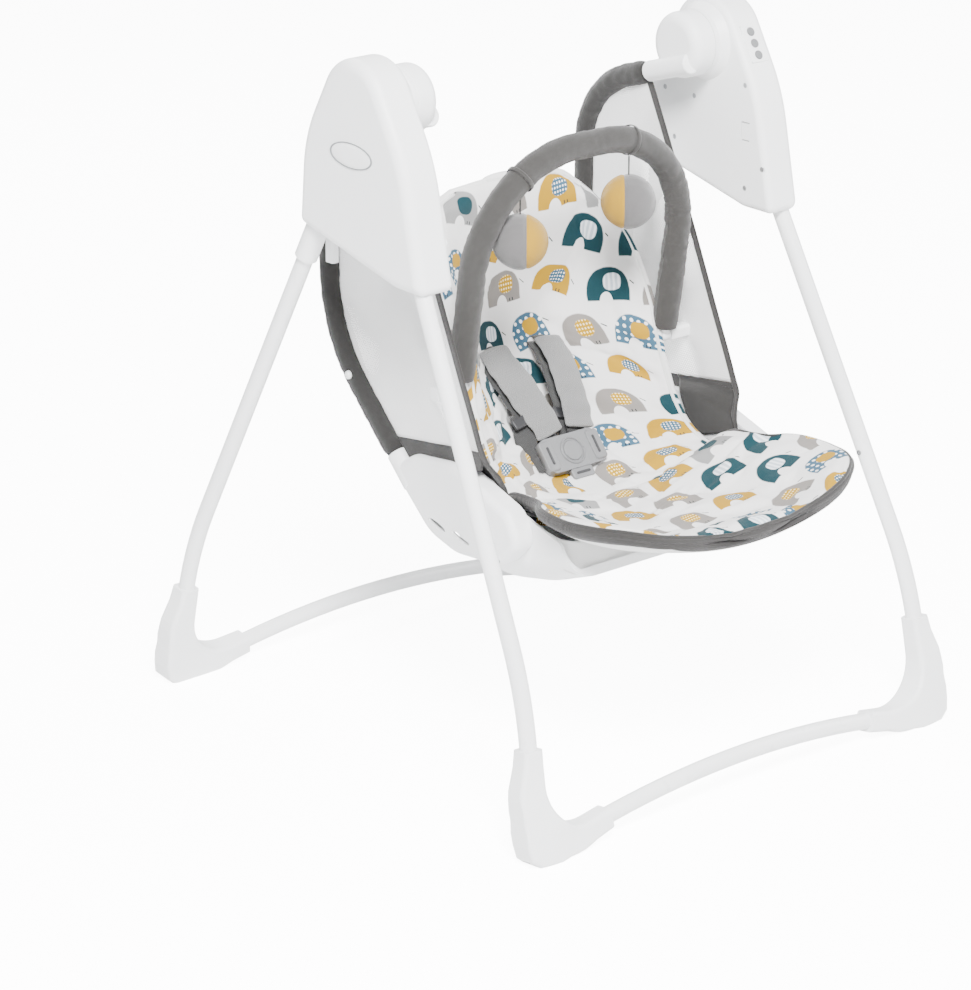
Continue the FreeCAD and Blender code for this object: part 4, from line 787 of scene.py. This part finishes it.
def cloth_radius(radius, seed, amp=1.0, ends=0.02, pull=2.5):
    """A sleeve's radius with soft folds and gathered ends, in metres."""

    def at(share, angle):
        ring = Vector((math.cos(angle), math.sin(angle), 0)) * 0.9
        fold = noise.noise(Vector((ring.x, ring.y, share * 26 + seed)) * 1.7)
        fine = noise.noise(Vector((ring.x * 2, ring.y * 2, share * 90 + seed)) * 1.3)
        seam = 0.9 * math.exp(-((((angle + 0.6) % (2 * math.pi)) - 0.6) / 0.10) ** 2)
        gather = pull * (1 - smoothstep(0, ends, min(share, 1 - share)))
        return (radius + amp * (0.9 * fold + 0.45 * fine) + seam - gather) * MM

    return at


for label, side in SIDES:
    points = [Vector((side * 190, p.y, p.z)) * MM for p in hanger_line(47, 36)]
    path = rounded_path(points, [100 * MM, 175 * MM], 3.2 * MM)
    sleeve = tube(f"hanger_cover_{label}", path, cloth_radius(13.6, 5 * side), [MATS["charcoal_fabric"]], 40)
    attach(sleeve, "seat")
    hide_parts(f"hanger_sleeve_{label}")


def panel_edges():
    """Front line and rear line of a side panel, top to bottom, in mm in side view."""
    path = rounded_path(hanger_line(52, 34), [100, 175], 4.0)
    rear = [Vector((0, p.y, p.z)) for p in path]
    inner = []
    for i, p in enumerate(rear):
        t = (rear[min(i + 1, len(rear) - 1)] - rear[max(i - 1, 0)]).normalized()
        n = Vector((0, t.z, -t.y))
        inner.append(p + n * 12.5)
    front = [(42, 700), (8, 630), (-34, 540), (-72, 455), (-98, 398), (-110, 366), (-108, 353)]
    bottom = [(-108, 353), (-60, 352), (-10, 342), (22, 325)]
    return inner, front, bottom


def along_line(points):
    """A function giving the place at a share of the length of a line through points."""
    steps = [0.0]
    for a, b in zip(points, points[1:]):
        steps.append(steps[-1] + (Vector(b) - Vector(a)).length)
    rows = [(d, *p) for d, p in zip(steps, points)]
    return lambda share: Vector(spline_table(rows, share * steps[-1]))


def share_at_border(place, border):
    """The first share at which a line drops below the border between the two cloths."""
    for n in range(2001):
        p = place(n / 2000)
        if p.z < border(p.y):
            return n / 2000
    return 1.0


def cloth_border(y):
    return 363 - (y + 18) * 0.13


def side_panel(label, side):
    """Mesh above and plain cloth below, stretched from the hanger tube to the bound front edge."""
    rear, front_pts, bottom = panel_edges()
    line = [(0, y, z) for y, z in front_pts + bottom[1:]]
    front_at = along_line(line)
    rear_at = along_line([tuple(p) for p in rear[::3]])
    front_cut = share_at_border(front_at, cloth_border)
    rear_cut = share_at_border(rear_at, cloth_border)
    across = 44
    for part, count, f0, f1, r0, r1 in (
        ("mesh", 80, 0.0, front_cut, 0.0, rear_cut), ("cloth", 24, front_cut, 1.0, rear_cut, 1.0),
    ):
        verts, uvs = [], []
        for i in range(count + 1):
            a, b = front_at(lerp(f0, f1, i / count)), rear_at(lerp(r0, r1, i / count))
            down = i / count * 0.8 if part == "mesh" else 0.8 + 0.2 * i / count
            for j in range(across + 1):
                share = j / across
                p = a.lerp(b, share)
                belly = math.sin(math.pi * share) * math.sin(math.pi * down)
                wave = noise.noise(Vector((p.y * 0.012, p.z * 0.012, 3 * side))) * 2.6
                ripple = noise.noise(Vector((p.y * 0.05, p.z * 0.012, 9 + side))) * 1.4
                x = 189.5 - belly * 3.0 + (wave + ripple) * belly
                verts.append(Vector((side * x, p.y, p.z)) * MM)
                uvs.append((p.y * MM, p.z * MM))
        slot_name = "white_mesh" if part == "mesh" else "charcoal_fabric"
        cloth(f"side_{part}_{label}", verts, uvs, (count, across), MATS[slot_name], slot_name)
    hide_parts(f"side_panel_{label}")
    # bound front edge, carried on over the rim of the pan
    edge = [front_at(n / 60) for n in range(61) if front_at(n / 60).z > 372 and n < 50]
    edge = [Vector((side * 189.5, p.y, p.z)) * MM for p in edge]
    over_rim = ((188, -114, 364), (181, -119, 352), (174, -125, 338), (171.6, -131, 323))
    edge += [Vector((side * x, y, z)) * MM for x, y, z in over_rim]
    smooth_edge = along_line([tuple(p) for p in edge])
    path = [smooth_edge(n / 90) for n in range(91)]
    binding = ribbon(f"side_binding_{label}", path, [X_AXIS * side] * 91, 9 * MM, 2.6 * MM, [PIPING])
    on_seat(binding)
    # cloth flap from the panel over the rim, down inside the pan
    rows = (
        ((188.6, -108, 366), (188.6, -60, 368), (188.6, -14, 362)),
        ((186.5, -112, 361), (186.5, -64, 363), (186.5, -20, 358)),
        ((179.0, -118, 354), (179.0, -70, 359), (179.0, -28, 355)),
        ((172.4, -122, 344), (172.2, -78, 352), (172.2, -36, 350)),
        ((171.8, -127, 333), (171.8, -86, 334), (171.8, -46, 330)),
        ((171.6, -131, 323), (171.6, -94, 313), (171.6, -58, 302)),
    )
    lines = [along_line(row) for row in rows]
    verts, uvs = [], []
    steps = 30
    for j in range(steps + 1):
        column = along_line([tuple(place(j / steps)) for place in lines])
        for i in range(steps + 1):
            p = column(i / steps)
            wave = noise.noise(Vector((p.y * 0.06, p.z * 0.03, side))) * 0.5
            verts.append(Vector((side * (p.x + wave * 0.4 - 0.2), p.y, p.z)) * MM)
            uvs.append((p.y * MM, p.z * MM))
    dark = MATS["charcoal_fabric"]
    flap, area = cloth(f"rim_flap_{label}", verts, uvs, (steps, steps), dark, "charcoal_fabric")


for label, side in SIDES:
    side_panel(label, side)


def seat_skirt():
    """White cloth from under the front of the cushion down inside the lip of the pan."""
    half, back = 171.0, -196.0
    edges = []
    for back_z, front_y, front_z in ((276, -238, 264), (304, -225, 300)):
        near = [(-half, back, back_z), (-half, front_y, front_z)]
        corners = [Vector(p) for p in near + [(half, front_y, front_z), (half, back, back_z)]]
        edges.append(along_line(rounded_path(corners, [14, 14], 4.0)))
    low_at, high_at = edges
    verts, uvs = [], []
    rows, cols = 10, 140
    for i in range(rows + 1):
        for j in range(cols + 1):
            share = j / cols
            p = low_at(share).lerp(high_at(share), i / rows)
            dip = 12 * (1 - (p.x / half) ** 2) * i / rows
            fold = noise.noise(Vector((p.x * 0.05, p.y * 0.05, i * 0.1))) * 1.4
            verts.append(Vector((p.x * (1 - fold * 0.002), p.y + fold, p.z - dip)) * MM)
            uvs.append((share * 0.42, i / rows * 0.04))
    obj, area = cloth("seat_skirt", verts, uvs, (rows, cols), WHITE_CLOTH, "printed_fabric")


seat_skirt()


def back_sling():
    """Cloth behind the back cushion, from one side panel to the other."""
    levels = [(376, 184, 84, 50), (404, 184, 97, 54), (465, 184, 116, 60), (530, 184, 109, 50)]
    verts, uvs = [], []
    rows, cols = 50, 60
    for i in range(rows + 1):
        z = lerp(levels[0][0], levels[-1][0], i / rows)
        half, front, dip = spline_table(levels, z)
        for j in range(cols + 1):
            t = j / cols * 2 - 1
            wave = noise.noise(Vector((t * 3, z * 0.02, 2))) * 2.0
            p = Vector((half * t, front + 2 - dip * t * t + wave, z)) * MM
            verts.append(p)
            uvs.append((p.x, p.z))
    obj, area = cloth("sling_cloth", verts, uvs, (rows, cols), WHITE_CLOTH, "white_mesh", 1.2, -1.0)
    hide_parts("seat_sling")


back_sling()

# ------------------------------------------------------------------ harness

BUCKLE = Vector((-8, -43, 314)) * MM
TILT = math.radians(50)
BUCKLE_UP = Vector((0, -math.sin(TILT), math.cos(TILT)))
BUCKLE_ALONG = Vector((0, math.cos(TILT), math.sin(TILT)))


def on_buckle(u, v, h):
    """A point by its place across, along and above the buckle's base, in mm."""
    return BUCKLE + (X_AXIS * u + BUCKLE_ALONG * v + BUCKLE_UP * h) * MM


def bezier(a, b, c, d, count):
    out = []
    for i in range(count + 1):
        t = i / count
        out.append(a * (1 - t) ** 3 + b * 3 * t * (1 - t) ** 2 + c * 3 * t * t * (1 - t) + d * t ** 3)
    return out


def strap_route(side):
    """From a slot in the cushion, bridging the hollow, to the top edge of the buckle."""
    slot_at = Vector((side * 41, 80, 417)) * MM
    start = Vector((side * 42, 62, 421)) * MM
    end = on_buckle(side * 21, 21, 7)
    into = start + Vector((-side * 1, -34, -18)) * MM
    leave = end + (BUCKLE_ALONG * 34 + BUCKLE_UP * 5 + X_AXIS * side * 7) * MM
    path = [slot_at.lerp(start, n / 4) for n in range(4)] + bezier(start, into, leave, end, 34)
    normals = []
    for i in range(len(path)):
        # the straps roll a little outwards between the slots and the buckle
        roll = side * 0.16 * math.sin(math.pi * i / (len(path) - 1))
        normals.append(Matrix.Rotation(-roll, 3, tangent(path, i)) @ face_up(path, i))
    return path, normals


def slack(path, normals, seed, amp):
    """Soft waves along a piece of cloth, in the direction of its normals."""
    out = []
    run = 0.0
    for i, (p, n) in enumerate(zip(path, normals)):
        if i:
            run += (p - path[i - 1]).length
        out.append(p + n * noise.noise(Vector((run * 55, seed, 0.5))) * amp * MM)
    return out


for label, side in SIDES:
    path, normals = strap_route(side)
    strap = ribbon(f"harness_{label}", path, normals, 25 * MM, 1.8 * MM, [MATS["grey_webbing"]])
    on_seat(strap)
    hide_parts(f"shoulder_strap_{label}")
    # the loose second layer of webbing, seen beside the pad, with its slider
    lower = [p - n * 4.5 * MM - X_AXIS * 9 * MM for p, n in zip(path[5:], normals[5:])]
    loose = ribbon(
        f"harness_loose_{label}", slack(lower, normals[5:], side * 3.0, 3.0), normals[5:],
        24 * MM, 1.6 * MM, [MATS["grey_webbing"]],
    )
    on_seat(loose)


def rounded_block(name, centre, axes, size, corner, mat):
    """A small moulded block with soft corners; axes are its own three directions."""
    half = [v / 2 for v in size]
    verts, faces = [], []
    ring = []
    for n in range(32):
        a = 2 * math.pi * n / 32
        cx = math.copysign(half[0] - corner, math.cos(a)) + corner * math.cos(a)
        cy = math.copysign(half[1] - corner, math.sin(a)) + corner * math.sin(a)
        ring.append((cx, cy))
    layers = ((-1.0, 0.9), (-0.8, 0.99), (0.7, 1.0), (0.95, 0.965), (1.0, 0.9))
    for rise, grow in layers:
        h = half[2] * rise
        for cx, cy in ring:
            verts.append(centre + (axes[0] * cx * grow + axes[1] * cy * grow + axes[2] * h) * MM)
    for k in range(len(layers) - 1):
        for n in range(32):
            m = (n + 1) % 32
            faces.append((k * 32 + n, k * 32 + m, (k + 1) * 32 + m, (k + 1) * 32 + n))
    faces.append(tuple(range(32)))
    faces.append(tuple(range(len(verts) - 32, len(verts))))
    on_seat(outward(make(name, verts, faces, [mat])))


for label, side in SIDES:
    path, normals = strap_route(side)
    first, last = 6, len(path) - 1
    piece = [p + n * 4.6 * MM + X_AXIS * 3 * MM for p, n in zip(path[first:last], normals[first:last])]
    piece = slack(piece, normals[first:last], 8.0 + side, 3.0)
    pad = ribbon(
        f"strap_pad_{label}", piece, normals[first:last],
        lambda a: (39 + 4 * math.sin(math.pi * min(a * 1.1, 1.0)) + 1.2 * math.sin(a * 34)) * MM, 3.6 * MM,
        [MATS["woven_pad"]], 2.0 * MM, 16,
    )
    subdivide(pad)
    on_seat(pad)
    place = path[-9] + normals[-9] * 0.5 * MM - X_AXIS * 22 * MM
    along = (path[-8] - path[-10]).normalized()
    rounded_block(
        f"slider_{label}", place, (along.cross(normals[-9]).normalized(), along, normals[-9]),
        (22, 13, 4), 2.0, BLACK,
    )
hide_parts("strap_pads")

# the end of the near shoulder webbing loops down into the side clip of the buckle
route, facing = strap_route(-1)  # the left strap
end = on_buckle(-40, -2, 6)
start = route[-12] - facing[-12] * 5 * MM - X_AXIS * 14 * MM
path = bezier(start, start + Vector((-4, -22, -20)) * MM, end + Vector((-26, 6, -4)) * MM, end, 22)
lift = [Vector((-0.35, -0.62, 0.70))] * len(path)
waist = ribbon("waist_webbing", slack(path, lift, 5.0, 2.0), lift, 25 * MM, 1.8 * MM, [MATS["grey_webbing"]])
on_seat(waist)

crotch_start = on_buckle(0, -26, 5)
crotch_end = Vector((-4, -140, 273)) * MM
crotch_path = bezier(
    crotch_start, crotch_start - BUCKLE_ALONG * 26 * MM + Vector((0, -8, 4)) * MM,
    crotch_end + Vector((0, 20, 14)) * MM, crotch_end, 28,
)
crotch_normals = [face_up(crotch_path, i) for i in range(len(crotch_path))]
crotch = ribbon(
    "crotch_webbing", slack(crotch_path, crotch_normals, 2.0, 1.5), crotch_normals, 40 * MM, 3.0 * MM,
    [WHITE_CLOTH], 0.8 * MM, 12,
)
subdivide(crotch)
on_seat(crotch)
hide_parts("crotch_strap")

# raised details of the buckle: side clips with slots, a ring round the button, a lower clip
DETAIL = MATS["buckle_grey"]
BUCKLE_AXES = (X_AXIS, BUCKLE_ALONG, BUCKLE_UP)
for label, side in SIDES:
    rounded_block(f"buckle_clip_{label}", on_buckle(side * 35, 0, 10), BUCKLE_AXES, (17, 37, 9), 4.0, DETAIL)
    rounded_block(f"clip_slot_{label}", on_buckle(side * 34, 0, 14.6), BUCKLE_AXES, (3.2, 22, 1.2), 1.5, BLACK)
turns = [2 * math.pi * n / 48 for n in range(49)]
ring_path = [on_buckle(15.5 * math.cos(turn), 15.5 * math.sin(turn), 13.2) for turn in turns]
button_ring = tube("button_ring", ring_path, lambda share, angle: 1.3 * MM, [DETAIL], 8)
rounded_block("lower_clip", on_buckle(2, -27, 8), BUCKLE_AXES, (31, 13, 8), 3.0, DETAIL)
rounded_block("lower_clip_slot", on_buckle(2, -27, 12.3), BUCKLE_AXES, (20, 3.0, 1.2), 1.4, BLACK)
on_seat(button_ring)

# ------------------------------------------------------------------ toy bar


def toy_point(x, rise):
    lean = math.radians(8.8)
    return Vector((x, -30 - rise * math.sin(lean), 436 + rise * math.cos(lean))) * MM


BAR_HALF, BAR_RISE, BAR_CORNER = 152, 246, 131
bar_points = [toy_point(x, rise) for x, rise in ((BAR_HALF, -4), (BAR_HALF, BAR_RISE))]
bar_points += [toy_point(-BAR_HALF, BAR_RISE), toy_point(-BAR_HALF, -4)]
bar_path = rounded_path(bar_points, [BAR_CORNER * MM] * 2, 3.0 * MM)


def bar_radius(share, angle):
    base = cloth_radius(15.0, 3.0, 0.9, 0.012, 1.5)(share, angle)
    # uneven folds on the shoulders, where the sleeve is bent
    fold = 0.0
    for place, width, depth in ((0.16, 0.10, 1.9), (0.27, 0.05, 1.2), (0.78, 0.08, 1.4)):
        near = math.exp(-((share - place) / width) ** 2)
        ridge = noise.noise(Vector((share * 95, math.cos(angle) * 0.9, math.sin(angle) * 0.9 + place * 9)))
        fold += near * depth * ridge
    return base + fold * MM


bar = tube("toy_bar_cover", bar_path, bar_radius, [MATS["grey_fabric"]], 44)
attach(bar, "toy_bar")
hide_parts("toy_bar_sleeve")


SEAM = Vector((0.765, -0.645, 0))


def ball(label, x, drop, loop_radius, gold_side, share):
    """A soft ball sewn from two coloured panels, hung on a thread from a loop round the bar."""
    over = max(abs(x) - (BAR_HALF - BAR_CORNER), 0)
    top = toy_point(x, BAR_RISE - BAR_CORNER + math.sqrt(BAR_CORNER ** 2 - over ** 2))
    centre = Vector((x * MM, top.y, top.z - drop * MM))
    side_way = Vector((0, 0, 1)).cross(SEAM)
    verts, faces, picks, uvs = [], [], [], []
    rings, segs = 56, 64
    radius = 30.8
    cut = (1 - share * 2) * radius * gold_side
    for i in range(rings + 1):
        # rings run along the seam's normal so that the border of the two colours is one ring
        a = -math.cos(math.pi * i / rings)
        for j in range(segs):
            angle = 2 * math.pi * j / segs
            px = a * radius
            pr = math.sqrt(max(radius ** 2 - px ** 2, 0))
            gores = 1 - 0.014 * math.exp(-(math.sin(angle * 1.5) / 0.12) ** 2)
            dent = 1.0 - 0.05 * math.exp(-((px - cut) / 1.2) ** 2)
            soft = 1 + 0.014 * noise.noise(Vector((px * 0.09, math.cos(angle) * 2, math.sin(angle) * 2 + x)))
            r = pr * gores * dent * soft
            at = SEAM * px * soft + side_way * math.cos(angle) * r + Vector((0, 0, 1)) * math.sin(angle) * r
            verts.append(centre + at * MM)
            uvs.append((angle * radius * MM, px * MM))
    for i in range(rings):
        for j in range(segs):
            k = (j + 1) % segs
            faces.append((i * segs + j, i * segs + k, (i + 1) * segs + k, (i + 1) * segs + j))
            px = -math.cos(math.pi * (i + 0.5) / rings) * radius
            picks.append(1 if (px - cut) * gold_side > 0 else 0)
    obj = outward(make(f"toy_{label}", verts, faces, [MATS["toy_velour"], TOY_GOLD], uvs, picks))
    subdivide(obj)
    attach(obj, f"toy_ball_{label}")
    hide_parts(f"toy_ball_{label}")
    start = Vector((centre.x, centre.y, top.z - loop_radius * MM))
    end = centre + Vector((0, 0, 29 * MM))
    slope = math.asin(over / BAR_CORNER) * (1 if x > 0 else -1)
    across = Vector((-math.sin(slope), 0, -math.cos(slope)))
    hub = Vector((centre.x, top.y, top.z))
    loop, normals = [], []
    for n in range(41):
        angle = 2 * math.pi * n / 40
        arm = across * math.cos(angle) + Vector((0, math.sin(angle), 0))
        loop.append(hub + arm * 16.6 * MM)
        normals.append(arm)
    band = ribbon(f"toy_loop_{label}", loop, normals, 5.0 * MM, 1.0 * MM, [MATS["grey_fabric"]], 0.0, 4)
    thread = tube(f"toy_thread_{label}", [start.lerp(end, n / 6) for n in range(7)], lambda a, b: 0.9 * MM,
                  [PIPING], 8)
    for piece in (band, thread):
        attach(piece, f"toy_ball_{label}")


ball("right", 59.0, 70.0, 18.0, -1, 0.42)
ball("left", -97.0, 70.0, 21.0, 1, 0.40)

# ------------------------------------------------------------------ small details of the mouldings


def oval(name, centre, half_y, half_z, rise, mat, inner=0.0):
    """A raised oval, or an oval ring, on a face that looks along -X."""
    verts, faces = [], []
    count = 72
    profile = ((1.0, 0.0), (0.995, rise * 0.7), (0.97, rise), (inner + 0.03 if inner else 0.5, rise))
    profile += ((inner + 0.005, rise * 0.7), (inner, 0.0)) if inner else ((0.02, rise),)
    for share, height in profile:
        for n in range(count):
            a = 2 * math.pi * n / count
            reach = half_y * share if share > 0.9 or not inner else half_y - half_z * (1 - share)
            y = reach * math.cos(a)
            verts.append((centre + Vector((-height, y, half_z * share * math.sin(a)))) * MM)
    for k in range(len(profile) - 1):
        for n in range(count):
            m = (n + 1) % count
            faces.append((k * count + n, k * count + m, (k + 1) * count + m, (k + 1) * count + n))
    if not inner:
        faces.append(tuple((len(profile) - 1) * count + n for n in range(count)))
    return make(name, verts, faces, [mat])


badge_at = Vector((-280.0, -1.9, 699.0))
for name, shape in (
    ("badge_ring", (36, 14, 1.0, BADGE_LINE, 0.93)),
    ("badge_face", (33.5, 12.8, 0.5, MATS["white_plastic"], 0.0)),
):
    piece = oval(name, badge_at, *shape)
    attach(piece, "root")

for label, side in SIDES:
    stud_path = [Vector((side * x, 106, 413)) * MM for x in (202.6, 205.4, 206.4)]
    white = MATS["white_plastic"]
    stud = tube(f"sleeve_stud_{label}", stud_path, lambda share, angle: (5.2 - 2.6 * share ** 2) * MM, [white], 24)
    on_seat(stud)

# ------------------------------------------------------------------ stage, light and camera

floor_mesh = bpy.data.meshes.new("floor")
floor_mesh.from_pydata([(-30, -30, 0), (30, -30, 0), (30, 30, 0), (-30, 30, 0)], [], [(0, 1, 2, 3)])
floor = bpy.data.objects.new("floor", floor_mesh)
bpy.context.scene.collection.objects.link(floor)
g = Graph("pale_floor")
floor.data.materials.append(g.finish((0.93, 0.93, 0.93), Roughness=0.9, Specular_IOR_Level=0.1))
# seen by the camera, the floor glows like a lit studio sweep and keeps only faint shadows
glow = g.tree.nodes.new("ShaderNodeEmission")
glow.inputs["Strength"].default_value = 10.0
both = g.tree.nodes.new("ShaderNodeAddShader")
seen_floor = g.tree.nodes.new("ShaderNodeLightPath")
pick_floor = g.tree.nodes.new("ShaderNodeMixShader")
g.link(g.shader.outputs[0], both.inputs[0])
g.link(glow.outputs[0], both.inputs[1])
g.link(seen_floor.outputs["Is Camera Ray"], pick_floor.inputs[0])
g.link(g.shader.outputs[0], pick_floor.inputs[1])
g.link(both.outputs[0], pick_floor.inputs[2])
g.link(pick_floor.outputs[0], g.tree.nodes["Material Output"].inputs["Surface"])

world = bpy.data.worlds.new("studio")
bpy.context.scene.world = world
world.use_nodes = True
sky = world.node_tree
sky.nodes["Background"].inputs[0].default_value = (0.97, 0.985, 1.0, 1.0)
sky.nodes["Background"].inputs[1].default_value = 1.15
backdrop = sky.nodes.new("ShaderNodeBackground")
backdrop.inputs[0].default_value = (1.0, 1.0, 1.0, 1.0)
backdrop.inputs[1].default_value = 12.0
seen = sky.nodes.new("ShaderNodeLightPath")
choose = sky.nodes.new("ShaderNodeMixShader")
sky.links.new(seen.outputs["Is Camera Ray"], choose.inputs[0])
sky.links.new(sky.nodes["Background"].outputs[0], choose.inputs[1])
sky.links.new(backdrop.outputs[0], choose.inputs[2])
sky.links.new(choose.outputs[0], sky.nodes["World Output"].inputs["Surface"])


def area_light(name, place, target, size, power):
    data = bpy.data.lights.new(name, "AREA")
    data.shape = "DISK"
    data.size = size
    data.energy = power
    obj = bpy.data.objects.new(name, data)
    obj.location = place
    aim = Vector(target) - Vector(place)
    obj.rotation_euler = aim.to_track_quat("-Z", "Y").to_euler()
    bpy.context.scene.collection.objects.link(obj)


area_light("key", (-1.6, -2.2, 3.2), (0, 0, 0.4), 1.2, 480)
area_light("fill", (2.8, -1.4, 2.0), (0, 0, 0.4), 1.6, 60)
area_light("rim", (0.8, 2.8, 2.6), (0, 0, 0.5), 1.6, 80)

camera_data = bpy.data.cameras.new("camera")
camera_data.sensor_width = 36.0
camera_data.lens = 130.9
camera = bpy.data.objects.new("camera", camera_data)
camera.location = (-2.558, -2.925, 1.656)
camera.rotation_euler = (math.radians(70.13), 0, math.radians(-40.13))
bpy.context.scene.collection.objects.link(camera)
bpy.context.scene.camera = camera
